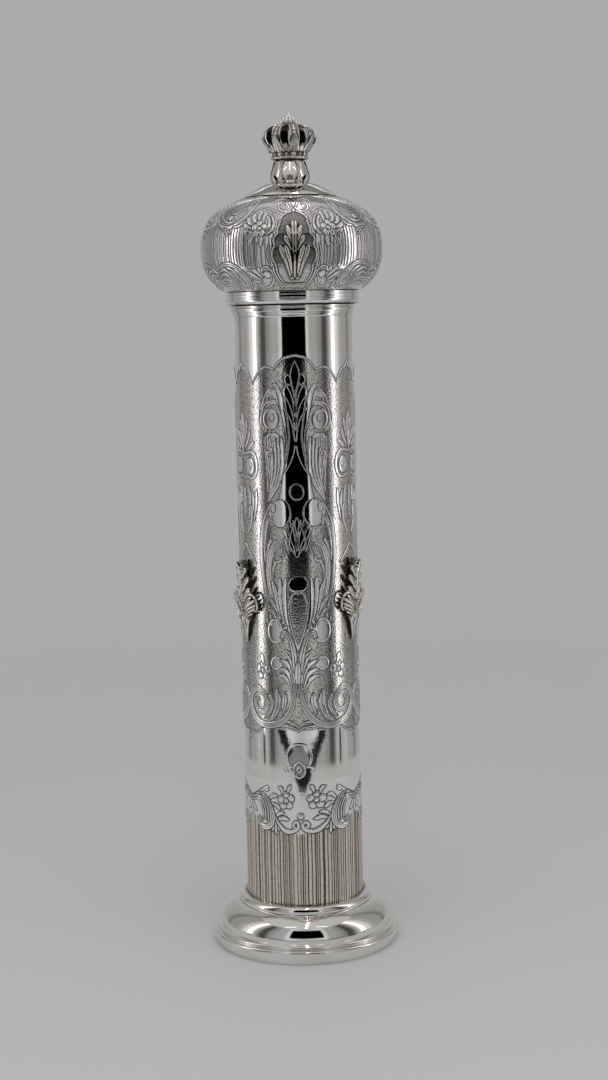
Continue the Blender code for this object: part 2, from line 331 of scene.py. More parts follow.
def curve_through(points, step=0.35):
    """Points every step millimetres on a smooth curve through the given points."""
    ends = np.vstack([2 * points[0] - points[1], points, 2 * points[-1] - points[-2]])
    path = []
    for a, b, c, d in zip(ends, ends[1:], ends[2:], ends[3:]):
        count = max(2, int(np.linalg.norm(c - b) / step))
        t = np.linspace(0, 1, count, endpoint=False)[:, None]
        path.append(0.5 * (2 * b + (c - a) * t + (2 * a - 5 * b + 4 * c - d) * t ** 2
                           + (3 * b - a - 3 * c + d) * t ** 3))
    return np.vstack(path + [points[-1:]])


def measured(sheet, path, half):
    """Round a path: the distance to it, the side of it, its half width and how far along."""
    edge = half.max() + sheet.groove + CELL_MM
    area = sheet.window(path.min(0) - edge, path.max(0) + edge)
    best = np.full(sheet.relief[area].shape, 1e9)
    side = np.zeros_like(best)
    wide = np.full_like(best, half[0])
    along = np.zeros_like(best)
    row, column = area[0].start, area[1].start
    for i, (a, b, first, last) in enumerate(zip(path, path[1:], half, half[1:])):
        near = sheet.window(np.minimum(a, b) - edge, np.maximum(a, b) + edge)
        if near[0].stop <= near[0].start or near[1].stop <= near[1].start:
            continue
        x, z = np.meshgrid(sheet.x[near[1]] - a[0], sheet.z[near[0]] - a[1])
        run = b - a
        share = np.clip((x * run[0] + z * run[1]) / max(run @ run, 1e-12), 0, 1)
        far = np.hypot(x - share * run[0], z - share * run[1])
        local = (slice(near[0].start - row, near[0].start - row + far.shape[0]),
                 slice(near[1].start - column, near[1].start - column + far.shape[1]))
        nearer = far < best[local]
        best[local][nearer] = far[nearer]
        side[local][nearer] = (np.sign(z * run[0] - x * run[1]) * far)[nearer]
        wide[local][nearer] = (first + share * (last - first))[nearer]
        along[local][nearer] = ((i + share) / (len(path) - 1))[nearer]
    return area, best, side, wide, along


def stroke(sheet, points, width, shape=STEM, rise=0.15, ribs=1, flat=8, matt=0.0, outs=(0,)):
    """Raises a tapered shape with its half width in mm; flat above 2 gives a flat top.

    outs are heights along it in mm, for a cast leaf that curls away from its ground.
    """
    path = curve_through(sheet.flat(points))
    length = np.concatenate([[0], np.cumsum(np.hypot(*np.diff(path, axis=0).T))])
    half = width * np.interp(length / length[-1], *zip(*shape))
    area, far, side, wide, along = measured(sheet, path, half)
    across = np.clip(far / np.maximum(wide, 1e-6), 0, 1)
    inside = far <= wide
    lift = rise * np.sqrt(1 - across ** flat)
    lift += np.interp(along, np.linspace(0, 1, len(outs)), outs)
    crease = np.zeros_like(lift)
    if ribs > 1:
        rib = (side / np.maximum(wide, 1e-6) + 1) / 2 * ribs
        between = np.abs(rib - np.round(rib)) * np.maximum(wide, 0.3) / ribs * 2
        inner = (np.round(rib) > 0) & (np.round(rib) < ribs)
        crease = np.where(inner, np.clip(1.5 * (1 - between / RIB_LINE_MM), 0, 1), 0)
    sheet.gap[area] = np.minimum(sheet.gap[area], far - wide)
    sheet.raise_shape(area, inside, lift - 0.6 * rise * crease, 0.85 * crease, matt,
                      np.clip((far - wide) / sheet.groove, 0, 1))


def cut(sheet, points, width, dark=1.0):
    """Engraves a dark line with its half width in mm."""
    path = curve_through(sheet.flat(points))
    area, far, *_ = measured(sheet, path, np.full(len(path), width))
    depth = np.clip(1.6 * (1 - far / (width + CUT_MM)), 0, 1)
    sheet.relief[area] -= CUT_MM * depth
    sheet.oxide[area] = np.maximum(sheet.oxide[area], dark * depth)


def disc(sheet, centre, radii, rise=0.2, flat=8, matt=0.0):
    """Raises an oval with its radii in mm."""
    middle = sheet.flat([centre])[0]
    reach_mm = np.array(radii) + sheet.groove
    area = sheet.window(middle - reach_mm, middle + reach_mm)
    x, z = np.meshgrid(sheet.x[area[1]] - middle[0], sheet.z[area[0]] - middle[1])
    out = np.hypot(x / radii[0], z / radii[1])
    lift = rise * np.sqrt(1 - np.clip(out, 0, 1) ** flat)
    sheet.raise_shape(area, out <= 1, lift, np.zeros_like(out), matt,
                      np.clip((out - 1) * min(radii) / sheet.groove, 0, 1))


def spiral(sheet, centre, radius, turns, start_degrees):
    """Points in degrees and mm on a spiral that winds inwards from its start."""
    points = []
    for i in range(15):
        share = i / 14
        angle = math.radians(start_degrees) + math.tau * turns * share
        r = radius * (1 - 0.82 * share)
        points.append((centre[0] + r * math.cos(angle) / sheet.mm_per_degree,
                       centre[1] + r * math.sin(angle)))
    return points


def flower(sheet, centre, petal_reach, petal_radius):
    """Five round petals with a vein each, round a small button."""
    for i in range(5):
        angle = math.radians(90 + 72 * i)
        away = (math.cos(angle) / sheet.mm_per_degree, math.sin(angle))
        tip = (centre[0] + petal_reach * away[0], centre[1] + petal_reach * away[1])
        start = (centre[0] + 0.35 * petal_reach * away[0],
                 centre[1] + 0.35 * petal_reach * away[1])
        stroke(sheet, [start, tip], petal_radius, ((0, 0.5), (0.7, 1), (1, 1)), 0.24, flat=4)
        cut(sheet, [start, ((start[0] + tip[0]) / 2, (start[1] + tip[1]) / 2)], 0.12, 0.9)
    disc(sheet, centre, (0.4 * petal_reach, 0.4 * petal_reach), 0.4, 2)


def strokes(sheet, rows, **shared):
    """Draws rows of (half width, shape, points), the first one undermost."""
    for width, shape, points in rows:
        stroke(sheet, points, width, shape, **shared)


def cuts(sheet, width, dark, *lines):
    """Engraves several lines of one half width and one darkness."""
    for points in lines:
        cut(sheet, points, width, dark)


def between_edges(sheet, upper, lower, depth=0.1):
    """Mats and sinks the ground between two edge lines, given as points."""
    top_line, low_line = (curve_through(sheet.flat(line)) for line in (upper, lower))
    high = np.interp(sheet.x, top_line[:, 0], top_line[:, 1])
    low = np.interp(sheet.x, low_line[:, 0], low_line[:, 1])
    z = sheet.z[:, None]
    inside = np.clip(np.minimum(high - z, z - low) / 0.3, 0, 1)
    sheet.matt[:] = np.maximum(sheet.matt, inside)
    sheet.relief[:] -= depth * inside

# %% [markdown]
# ## The ornament of the tube, drawn flat
#
# The chased field repeats three times round the tube, and each third is a mirrored pair. So
# one sixth is drawn, 60 degrees wide. At 0 degrees stands the tall front motif: a palmette on
# a vase-shaped stem, an urn, and sprays of acanthus that grow out of two big scrolls. At 60
# degrees is the plainer panel that the cast leaf sits on. The work goes from back to front:
# first the matted field, then the broad shapes, then the leaves that overlap them.

# %% The field and its edges
TOP_EDGE = [(-3, 302.7), (0, 302.9), (10, 301.4), (15.5, 298.8), (20.3, 295.6), (28, 296.7),
            (34, 295.4), (39, 292.4), (43.5, 289), (46, 291.6), (49.5, 294.3), (56, 296.4),
            (60, 299.4), (64, 296.4)]
LOW_EDGE = [(-3, 115.5), (0, 115.3), (15, 115.8), (30, 116), (42, 116.1), (46, 114.8),
            (51, 113.6), (56.5, 113.2), (60, 109.4), (63.5, 113.2)]
tube_sheet = Sheet(60, 104, 304, TUBE_RADIUS)
between_edges(tube_sheet, TOP_EDGE, LOW_EDGE)
for first, last in ((0, 5), (4, 9), (8, 13)):
    stroke(tube_sheet, TOP_EDGE[first:last], 0.34, EVEN, 0.3)
for first, last in ((4, 9), (8, 10)):
    stroke(tube_sheet, LOW_EDGE[first:last], 0.3, EVEN, 0.25)
print("sheet of", tube_sheet.relief.shape, "cells")

# %% The palmette, its stem and the volutes
VASE = ((0, 0.5), (0.08, 0.8), (0.15, 1), (0.27, 0.82), (0.44, 0.65), (0.63, 0.4),
        (0.71, 0.44), (0.82, 0.62), (1, 0.72))
OGIVE = ((0, 0.3), (0.3, 0.75), (0.5, 1), (0.72, 0.8), (0.9, 0.35), (1, 0.05))
strokes(tube_sheet, [
    (1.2, STEM, [(15, 283), (21, 285.2), (27, 282.8), (32.5, 276.5), (35, 271)]),
    (1.15, STEM, [(7, 264), (9, 271.6), (12.6, 277.4), (20, 279.6), (28, 278), (33.4, 273.2),
                  (33.4, 268.6), (29, 265.8)]),
    (1.5, BLADE, [(8.4, 268), (11.4, 275.6), (15.6, 281.4), (20.4, 284.2), (25.4, 282.6)]),
], flat=10)
stroke(tube_sheet, [(0, 223), (0, 254), (0, 284)], 8.8, VASE, 0.06, flat=12)
stroke(tube_sheet, [(10.2, 249), (8, 256), (7.2, 262.6), (9.2, 270), (12, 278), (15.2, 284.6),
                    (18.4, 288.2)], 1.25,
       ((0, 0.1), (0.4, 0.55), (0.75, 1), (0.92, 0.8), (1, 0.45)), 0.12, flat=10)
stroke(tube_sheet, [(8.6, 287.6), (9.6, 291), (9.2, 295)], 0.7, POINTED, 0.15)
disc(tube_sheet, (5.9, 291), (2.3, 2.5), 0.06, 12)
stroke(tube_sheet, [(0, 286), (0, 293), (0, 300)], 2.5, OGIVE, 0.07, flat=12)
cuts(tube_sheet, 0.14, 0.25,
     [(0.7, 260), (2.6, 267), (6, 272.4), (11, 276.4)],
     [(0.5, 265), (2.4, 273), (6.4, 279.4), (12.4, 284)],
     [(0.4, 270), (1.5, 277.6), (4.2, 283.6), (8.4, 288)],
     [(0.2, 275), (0.6, 281.4), (1.9, 286), (4, 289.6)],
     [(0.7, 258), (2.8, 253), (7, 248), (12, 244)])
disc(tube_sheet, (23.8, 271.3), (4.3, 4.9), 0.2, 8)
cut(tube_sheet, spiral(tube_sheet, (24.2, 271.8), 2.6, 0.8, 120), 0.16)

# %% The strand fans, the boss and the polished ovals
FAN = ((0, 1), (0.4, 0.8), (0.75, 0.45), (1, 0.15))
stroke(tube_sheet, [(21.5, 260.5), (20.5, 250), (23, 241), (28, 231.5)], 4.2, FAN, 0.15, flat=8)
strokes(tube_sheet, [
    (0.75, STEM, [(29.6, 262.2), (29.2, 255), (28.2, 247), (27.6, 240), (28.2, 233)]),
    (0.6, STEM, [(24.6, 262.2), (24, 258.5)]),
    (0.7, STEM, [(23, 257), (22.2, 249), (24, 241), (28, 233.6)]),
    (0.75, STEM, [(20, 262), (18.8, 254), (19.4, 246), (22.8, 239.5), (28, 232.8)]),
    (0.75, STEM, [(16.4, 261.6), (15.3, 253), (16, 246), (20.4, 239), (28, 232)]),
    (1, HANGING, [(13, 262.6), (12, 254), (12.8, 247), (18, 238.6), (27.6, 231.4)]),
    (0.55, STEM, [(27, 246), (26.6, 251)]
     + spiral(tube_sheet, (25.4, 254.3), 1.5, 0.9, 0)),
])
disc(tube_sheet, (0, 235.2), (3.6, 3.8), 0.1, 2, 0.7)
disc(tube_sheet, (16.8, 224.9), (5.3, 6.7), 0.14, 12)

# %% The outer stem, the pendant and the inward acanthus
strokes(tube_sheet, [
    (0.75, STEM, [(24.6, 219.5), (26, 222.7), (30, 220), (33, 213), (33.6, 204), (31, 194)]),
    (1.15, STEM, [(23, 226.6), (22.4, 228.4), (25, 229), (28.6, 226), (33.6, 220),
                  (36.4, 212), (37.2, 203), (35.6, 193), (32, 184), (29.5, 178)]),
    (1.1, BLADE, [(6.4, 207), (8.4, 212), (11, 215.4), (13.8, 217)]),
    (0.8, POINTED, [(8.6, 206), (10.2, 210), (12.2, 212.2), (14.4, 212.4)]),
])
stroke(tube_sheet, [(0, 204), (0, 211), (0, 222)], 4.4, ((0, 0.2), (0.3, 1), (0.6, 0.8), (1, 0.1)),
       0.06, flat=12)
cuts(tube_sheet, 0.14, 0.3,
     [(0.6, 206), (2, 212), (4.4, 216.6), (7.4, 219)],
     [(0.3, 208), (0.8, 214), (2.2, 218.4), (4.4, 221.4)],
     [(2.4, 205), (4.6, 209.6), (8, 212.4)])
strokes(tube_sheet, [
    (0.8, STEM, [(28, 181), (30.6, 190), (31.6, 199), (30.2, 207), (26.4, 211.8)]),
    (0.7, STEM, [(25.4, 189), (25.2, 196), (21.8, 200.6), (17.8, 201.2), (16.4, 202.6),
                 (17.6, 203.4)]),
])
stroke(tube_sheet, [(26.6, 184), (29, 193), (28.4, 202), (24, 208.6), (17.4, 210.4),
                    (13.9, 208.2), (14.8, 205)], 1.7, STEM, 0.26, ribs=3)
cut(tube_sheet, [(17, 208.5), (20, 206.8), (23, 203.6), (24.6, 199)], 0.12, 0.7)

# %% The urn and the leaves on its sides
strokes(tube_sheet, [
    (0.95, BLADE, [(11, 167), (19, 172.4), (24.6, 175.2), (29.4, 176.4)]),
    (1.15, BLADE, [(10, 166.2), (16, 172.8), (22, 178), (27.6, 181.5)]),
    (1.3, BLADE, [(9, 165.6), (14, 172), (18.6, 179.4), (22, 186), (25.4, 190.8)]),
    (1.35, BLADE, [(7.6, 164), (12, 171), (15.4, 179), (16.8, 186.4), (17.4, 192.2)]),
    (1.3, BLADE, [(6.2, 162.6), (9.8, 170.5), (12, 178.4), (12.4, 186.4), (11.4, 192.8)]),
], flat=4)
stroke(tube_sheet, [(-3, 189.6), (0, 189.6), (2.2, 189.6)], 3.7, EVEN, 0.05, flat=14)
URN = ((0, 0.05), (0.14, 0.3), (0.4, 0.68), (0.65, 0.92), (0.86, 1), (0.97, 0.86),
       (1, 0.74))
stroke(tube_sheet, [(0, 156.6), (0, 170), (0, 182.4)], 5.1, URN, 0.3, flat=6)
stroke(tube_sheet, [(0, 160.6), (0, 170), (0, 181.8)], 4.2, URN, 0.02, flat=8, matt=1.0)
cut(tube_sheet, [(-1, 183.6), (2.6, 185), (6.6, 184.4)], 0.16, 0.3)

# %% The low ovals, the hook leaves and the sprays
for angle in range(15, 180, 25):
    out_x = math.cos(math.radians(angle)) / tube_sheet.mm_per_degree
    out_z = math.sin(math.radians(angle))
    stroke(tube_sheet, [(22.6 + 4.6 * out_x, 165.6 + 5.6 * out_z),
                        (22.6 + 6.6 * out_x, 166.6 + 8.6 * out_z)], 0.55, LEAF, 0.3)
disc(tube_sheet, (22.6, 166), (4.6, 6.2), 0.38, 8)
cut(tube_sheet, [(17.5, 168.4), (20, 170.4), (24.6, 170.6), (27.8, 168.6)], 0.1, 0.5)
disc(tube_sheet, (22.4, 149.6), (3.3, 3.4), 0.36, 6)
cut(tube_sheet, [(18, 150.6), (21, 151.6), (25, 151)], 0.12, 0.7)
flower(tube_sheet, (38.6, 145.4), 3.1, 1.8)
strokes(tube_sheet, [
    (1.3, LEAF, [(37.6, 149), (38.8, 151.6), (40.2, 153.6)]),
    (1, BLADE, [(4.6, 134), (8.6, 139.4), (13.4, 142.6), (18.8, 143.4)]),
    (1.15, BLADE, [(4, 135), (7.2, 142), (12.4, 145.8), (18.4, 146.6)]),
    (1.25, BLADE, [(3.2, 136), (5.6, 145), (10.4, 149.4), (16.6, 151)]),
])
strokes(tube_sheet, [
    (1.55, BLADE, [(2.2, 136), (3.4, 146), (7.2, 152.4), (11.6, 155.4), (15, 154.2)]),
    (1.35, STEM, [(2.4, 146), (4.4, 156), (7.8, 162.4), (11.8, 165.4), (15, 165.2),
                  (16, 163.4)]),
], ribs=2)
stroke(tube_sheet, [(0, 134), (0, 144), (0, 153)], 1.5, POINTED, 0.24, ribs=2)

# %% The big scrolls and the ribbon under them
SCROLL = ((0, 0.45), (0.2, 0.8), (0.45, 1), (0.75, 0.85), (1, 0.5))
strokes(tube_sheet, [
    (0.6, STEM, [(24, 117.2), (14, 117.9), (6, 117.3), (0.6, 115.4)]),
    (0.6, STEM, [(17, 118.8), (11, 120.1), (5.6, 119.6), (1.6, 117.8)]),
])
strokes(tube_sheet, [
    (1, LEAF, [(38, 121.6), (31.4, 125), (28.8, 129.4), (30.4, 132.6), (32.6, 131.4)]),
    (1.7, LEAF, [(33, 119.8), (25.4, 124), (21.6, 130), (22.6, 136)]),
    (1.25, LEAF, [(24, 119.6), (17.4, 124.6), (14.2, 130), (14.2, 134.8)]),
], ribs=2)
stroke(tube_sheet, [(2.6, 139), (4.6, 131), (9, 124.4), (17, 119.9), (28, 118.1),
                    (40, 118.3), (50, 120.8), (56.6, 126), (57.2, 131.4), (51.6, 135.4),
                    (43.6, 135.8), (37.2, 132.8), (35.4, 128.6), (38.6, 125.2),
                    (44.4, 124.8), (49, 127), (49.6, 130), (46.2, 131)],
       1.7, SCROLL, 0.26, ribs=3, flat=4)
cut(tube_sheet, [(15.6, 123.4), (17.6, 124.6), (17.2, 126.4)], 0.2)

# %% The side panel behind the cast leaf
strokes(tube_sheet, [
    (1, LEAF, [(54, 255.6), (48.6, 259), (43.8, 260.4)]),
    (1.1, LEAF, [(57, 257.6), (52.6, 261.4), (48.8, 265.8)]),
    (1.2, LEAF, [(58.6, 259), (55.8, 265), (53, 271)]),
    (0.9, STEM, [(58.4, 254.4), (50, 255.4), (43.6, 253.6), (40.8, 248.6), (43.6, 243.6),
                 (50, 242), (56, 243)]),
    (1, LEAF, [(46, 221), (42.8, 229), (42.2, 236.6)]),
    (1, LEAF, [(49, 221), (46.8, 229), (47.6, 235)]),
    (1.2, LEAF, [(53, 222), (51.8, 230.4), (53.4, 237.6)]),
    (1.1, LEAF, [(56, 214), (50.6, 220), (50, 226.6), (53, 228.4)]),
    (0.6, STEM, [(45, 199.6), (52.6, 204.2), (60, 208.8)]),
])
stroke(tube_sheet, [(60, 221), (60, 230), (60, 239)], 1.4, POINTED, 0.24, ribs=2)
stroke(tube_sheet, [(60, 256), (60, 266), (60, 275.6)], 1.9, POINTED, 0.32, ribs=2)
disc(tube_sheet, (50, 248.2), (3.2, 4.2), 0.38, 6)
cut(tube_sheet, spiral(tube_sheet, (50.2, 248.4), 2.2, 0.8, 120), 0.16)
print("drew the tube's field:", round(float(tube_sheet.relief.max()), 2), "mm at its highest")

# %% [markdown]
# ## The garland, drawn flat
#
# Between the plain band and the flutes runs a garland: five-petalled flowers, curled
# acanthus scrolls and small trefoils. Behind it the sheet stays polished above, and the
# flutes come up to it from below. The ground that the flutes fill is marked with matting
# here, and the flutes are cut later only where that mark is.

# %% The garland
GARLAND_EDGE = [(-3, 62.5), (20, 64), (30, 66), (45, 66), (52, 69), (60, 70.5), (64, 70)]
garland_sheet = Sheet(60, 58, 92, TUBE_RADIUS, groove=0.6)
between_edges(garland_sheet, GARLAND_EDGE, [(-3, 40), (64, 40)], 0.0)
garland_sheet.matt[:] = np.round(garland_sheet.matt)
flower(garland_sheet, (15.3, 79.8), 2.9, 1.85)
strokes(garland_sheet, [
    (0.95, LEAF, [(18.4, 83.6), (20.4, 86), (23.2, 86.8)]),
    (0.95, LEAF, [(13.4, 84), (12.2, 86), (10.4, 87.6)]),
    (0.95, LEAF, [(34, 80), (29.6, 82.2), (25.2, 82.2)]),
    (1, LEAF, [(31.4, 78), (26.6, 77.6), (22.6, 75.6)]),
    (0.62, LEAF, [(28.6, 69), (29.6, 66), (31.8, 63.8)]),
    (0.62, LEAF, [(26.6, 69), (25.2, 66.4), (22.6, 64.4)]),
    (0.7, LEAF, [(27.6, 69), (27.4, 65.4), (27.1, 62.2)]),
    (1, LEAF, [(60, 77), (60, 73.6), (60, 70.6)]),
    (1, LEAF, [(58, 77), (55.4, 74), (52.4, 72.4)]),
    (0.9, LEAF, [(28, 70.6), (23, 73.2), (17.8, 73.4)]),
    (1.1, LEAF, [(26.4, 69), (20, 70.8), (12.6, 70)]),
])
disc(garland_sheet, (0, 71.6), (1.5, 1.5), 0.5, 2)
stroke(garland_sheet, [(27, 71), (23, 67.4), (16, 64.2), (9, 63.9), (3.6, 65.2), (1.9, 67.2),
                       (3.8, 68.7), (6.8, 68.2), (7.4, 66.6), (5.4, 65.9)], 0.95,
       ((0, 0.5), (0.35, 1.3), (0.7, 0.8), (1, 0.7)), 0.32)
strokes(garland_sheet, [
    (0.8, STEM, [(60, 79.2), (52, 81), (44.6, 83.4), (39.4, 85.2), (36.4, 86), (36, 84.6),
                 (38.6, 84)]),
    (0.55, STEM, [(60, 77.4), (52, 79), (46, 77.6), (42.4, 73.6), (42, 69.6)]),
    (0.55, STEM, [(58, 79.2), (50, 80.4), (43.6, 78.6), (39.6, 74.2), (39.4, 69)]),
    (0.6, STEM, [(52, 81.6), (45, 81.4), (39.6, 78.8), (36.2, 74), (36.4, 68.6)]),
])
stroke(garland_sheet, [(46, 82.2), (39, 80.8), (33.4, 76.6), (31, 71), (33.6, 66.8),
                       (39.4, 64.8), (46, 65.2), (49, 67), (47.6, 69), (44.6, 68.2)], 1.35,
       ((0, 0.4), (0.3, 1), (0.55, 1.15), (0.85, 0.75), (1, 0.6)), 0.3, ribs=3)
print("sheet of", garland_sheet.relief.shape, "cells")

# %% [markdown]
# ## The cast leaves, drawn flat
#
# Three acanthus sprays stand on the tube and three smaller ones on the lid. They were cast,
# chased and pinned on, and their lobes curl away from the sheet, so one sees dark under them.
# Each is drawn on a sheet of its own as half a leaf, with a height along every stroke. They
# are drawn before the tube is spun, because the tube gets painted shade round them.

# %% The big leaf: its right half in millimetres
FLAT_RADIUS = math.degrees(1.0)     # on a sheet of this radius a degree is a millimetre
LEAF_LOW = bottom("tube_leaf_1")
LEAF_TALL = 43.0
LOBE = ((0, 0.4), (0.45, 0.75), (0.8, 1), (0.94, 0.85), (1, 0.5))


def lobes(sheet, rise, rows):
    """Draws rows of (half width, shape, ribs, heights along it, points), rounded on top."""
    for width, shape, ribs, outs, points in rows:
        stroke(sheet, points, width, shape, rise, ribs, flat=2, outs=outs)


big_leaf = Sheet(11, 0, LEAF_TALL, FLAT_RADIUS)
lobes(big_leaf, 1.0, (
    (0.7, STEM, 1, (0.5, 1.2, 2), [(0.3, 1.6), (1.3, 8), (3.4, 14)]),
    (0.75, STEM, 1, (0.7, 1.6, 2.2), [(0.6, 2.4), (2.6, 9), (6.2, 15.6)]),
    (3, LOBE, 1, (1.4, 1.7, 1.8, 1.2), [(1.6, 11), (4, 16), (6.2, 19.6), (7.8, 20.4)]),
    (0.6, LOBE, 1, (2, 2.6, 2.2), [(3, 13), (5.2, 14.8), (7.2, 15.8)]),
    (0.72, LOBE, 1, (2.2, 3, 2.2), [(2.5, 14), (5.6, 16.5), (8.6, 18.2)]),
    (0.78, LOBE, 1, (2.4, 3.3, 2.2), [(1.8, 14.8), (5.4, 18), (9.2, 20.3)]),
    (0.8, LOBE, 1, (2.6, 3.5, 2.4), [(1.2, 15.6), (4.8, 19.6), (8.6, 22.4)]),
    (0.75, LOBE, 1, (2.6, 3.6, 2.8), [(0.6, 16.8), (3.7, 21.3), (6.9, 24)]),
    (0.62, STEM, 1, (2.4, 3.4, 3.4, 2.6, 1.4), [(0.6, 18.4), (2.6, 22.4), (5.4, 25.3),
                                               (8.4, 25.2), (10.2, 22.8), (10.3, 19.4),
                                               (9, 16.8)]),
    (1.05, LOBE, 2, (1.8, 2.2, 2.4), [(0.8, 16), (2.9, 19.6), (5, 22.8)]),
    (1.3, LOBE, 2, (2.2, 2.6, 2.6), [(0.4, 20), (2.6, 24.4), (5.5, 28)]),
    (1.3, LOBE, 2, (2.4, 2.8, 2.8), [(0.3, 25.4), (2.2, 29.8), (5.1, 33.6)]),
    (1.2, LOBE, 2, (2.6, 3.2, 3.2), [(0.3, 30.8), (1.6, 35), (4, 38.2)]),
    (1.5, EVEN, 1, (4, 4.8, 4), [(0, 38.4), (0, 40), (0, 40.8)]),
    (1.25, LOBE, 2, (2.6, 3.2, 3.8, 5.2), [(0, 17), (0, 26), (0, 35), (0, 41.4)]),
    (1, STEM, 2, (0.6, 1.8, 3.2), [(0, 1.2), (0, 10), (0, 20)])))

# %% The small leaf of the lid: its right half in millimetres
SMALL_LEAF_TALL = 30.0
small_leaf = Sheet(8, 0, SMALL_LEAF_TALL, FLAT_RADIUS)
lobes(small_leaf, 0.9, (
    (1.6, EVEN, 1, (0.3, 0.5), [(0, 3), (0, 6)]),
    (0.42, EVEN, 1, (0.4, 0.4), [(0, 1.2), (1.5, 1.4), (2.2, 3.2)]),
    (0.5, LOBE, 1, (0.8, 1.4, 1.4), [(2.2, 7.4), (4, 10.2), (5.2, 12.2)]),
    (1.1, LOBE, 1, (0.6, 1.6, 2.4), [(2.1, 2.6), (3.6, 8.4), (5.3, 13), (6.2, 16.2)]),
    (1, LOBE, 1, (0.7, 1.8, 2.6), [(1.4, 3.6), (2.2, 9), (3.3, 13.6), (4, 16.2)]),
    (1.05, LOBE, 1, (1.2, 2.2, 2.8), [(0.6, 13.2), (2.3, 17.4), (4.1, 20.8)]),
    (1.1, LOBE, 1, (1.4, 2.4, 2.8), [(0.8, 15.6), (1.9, 21.2), (3, 25.6)]),
    (0.5, EVEN, 1, (1.6, 2.6, 2.8), [(0.55, 14), (0.6, 21), (0.7, 27.8)]),
    (0.6, STEM, 1, (0.5, 1.2, 1.6), [(0, 1.8), (0, 6), (0, 12)])))
print("drew half a leaf", round(float(big_leaf.relief.max()), 1), "mm high")

# %% [markdown]
# ## Rolling the drawing round the tube
#
# Each band of the tube is spun: a closed loop of points, the outer wall with many rows and
# the inner wall with few, is turned round the axis. The points of the outer wall then read
# the sheet and move out or in. Reading is folded, so that the drawn sixth fills the whole
# round, and it wanders by a few tenths of a millimetre, because a hand never repeats itself.
# The tube is cut into bands only to keep each mesh small; the seams meet point for point.

# %% Mesh helpers
THIRD = 120.0           # degrees; the ornament comes three times round
WALL_MM = 0.8
SEAM_MM = 0.01          # a point this near a band's end lies on its seam
SMALLEST = 0.0000005    # metres; points nearer than this are one point
SPUN_ANGLE = 50.0       # a sharper turn between two faces stays a visible edge
CHASED_ANGLE = 60.0


def new_mesh(name, add, **settings):
    """Runs an operator that adds a basic mesh, and names what it made."""
    bpy.ops.object.select_all(action="DESELECT")
    add(**settings)
    made = bpy.context.active_object
    made.name = made.data.name = name
    return made


def new_grid(name, columns, rows):
    """A square grid, one metre wide, to be given its shape point by point."""
    return new_mesh(name, bpy.ops.mesh.primitive_grid_add, size=1.0,
                    x_subdivisions=columns, y_subdivisions=rows)


def new_copy(piece, name):
    """A copy of a piece with a mesh of its own."""
    copy = bpy.data.objects.new(name, piece.data.copy())
    bpy.context.scene.collection.objects.link(copy)
    return copy


def apply_modifier(piece, kind, **settings):
    """Gives a piece a modifier and applies it at once."""
    bpy.context.view_layer.objects.active = piece
    added = piece.modifiers.new(kind, kind)
    for key, value in settings.items():
        setattr(added, key, value)
    bpy.ops.object.modifier_apply(modifier=added.name)


def face_outward(angle):
    """Turns the selected piece's faces outward, with soft shading up to an angle."""
    bpy.ops.object.mode_set(mode="EDIT")
    bpy.ops.mesh.select_all(action="SELECT")
    bpy.ops.mesh.normals_make_consistent(inside=False)
    bpy.ops.object.mode_set(mode="OBJECT")
    bpy.ops.object.shade_smooth_by_angle(angle=math.radians(angle))


def triangles(piece):
    """How many triangles the piece's faces come to."""
    return sum(len(face.vertices) - 2 for face in piece.data.polygons)


def places(piece):
    """The piece's points as an array, in millimetres."""
    flat = np.empty(len(piece.data.vertices) * 3, np.float32)
    piece.data.vertices.foreach_get("co", flat)
    return flat.reshape(-1, 3).astype(float) / MM


def put(piece, points):
    """Moves the piece's points to an array of millimetres."""
    piece.data.vertices.foreach_set("co", (points * MM).astype(np.float32).ravel())
    piece.data.update()


def axis_distance(points):
    """How far points lie from the axis."""
    return np.hypot(points[:, 0], points[:, 1])


def mark(piece, **layers):
    """Stores one number, or an array of one a point, as an attribute of the mesh."""
    for name, values in layers.items():
        layer = piece.data.attributes.get(name)
        if layer is None:
            layer = piece.data.attributes.new(name, "FLOAT", "POINT")
        spread = np.zeros(len(piece.data.vertices)) + np.clip(values, 0, 1)
        layer.data.foreach_set("value", spread.astype(np.float32))


def finish_piece(piece, material, slot, *nodes):
    """Gives a piece its material and its body, and hides the CAD nodes that it stands for."""
    piece.data.materials.clear()
    piece.data.materials.append(material)
    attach(piece, "root")
    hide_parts(*nodes)
    print(piece.name, triangles(piece), "triangles")


# %% Spinning, thinning and reading the sheet


def spun(name, profile, steps):
    """Turns a closed loop of (radius, z) points in millimetres round the axis."""
    piece = new_mesh(name, bpy.ops.mesh.primitive_circle_add, vertices=len(profile),
                     radius=MM)
    for vertex, (r, z) in zip(piece.data.vertices, profile):
        vertex.co = (0.0, -r * MM, z * MM)
    apply_modifier(piece, "SCREW", axis="Z", angle=math.tau, steps=steps, render_steps=steps,
                   use_merge_vertices=True, merge_threshold=SMALLEST)
    if min(r for r, z in profile) == 0:
        bpy.ops.object.mode_set(mode="EDIT")
        bpy.ops.mesh.select_all(action="SELECT")
        bpy.ops.mesh.remove_doubles(threshold=SMALLEST)
        bpy.ops.mesh.dissolve_degenerate(threshold=SMALLEST / 5)
        bpy.ops.object.mode_set(mode="OBJECT")
    face_outward(SPUN_ANGLE)
    return piece


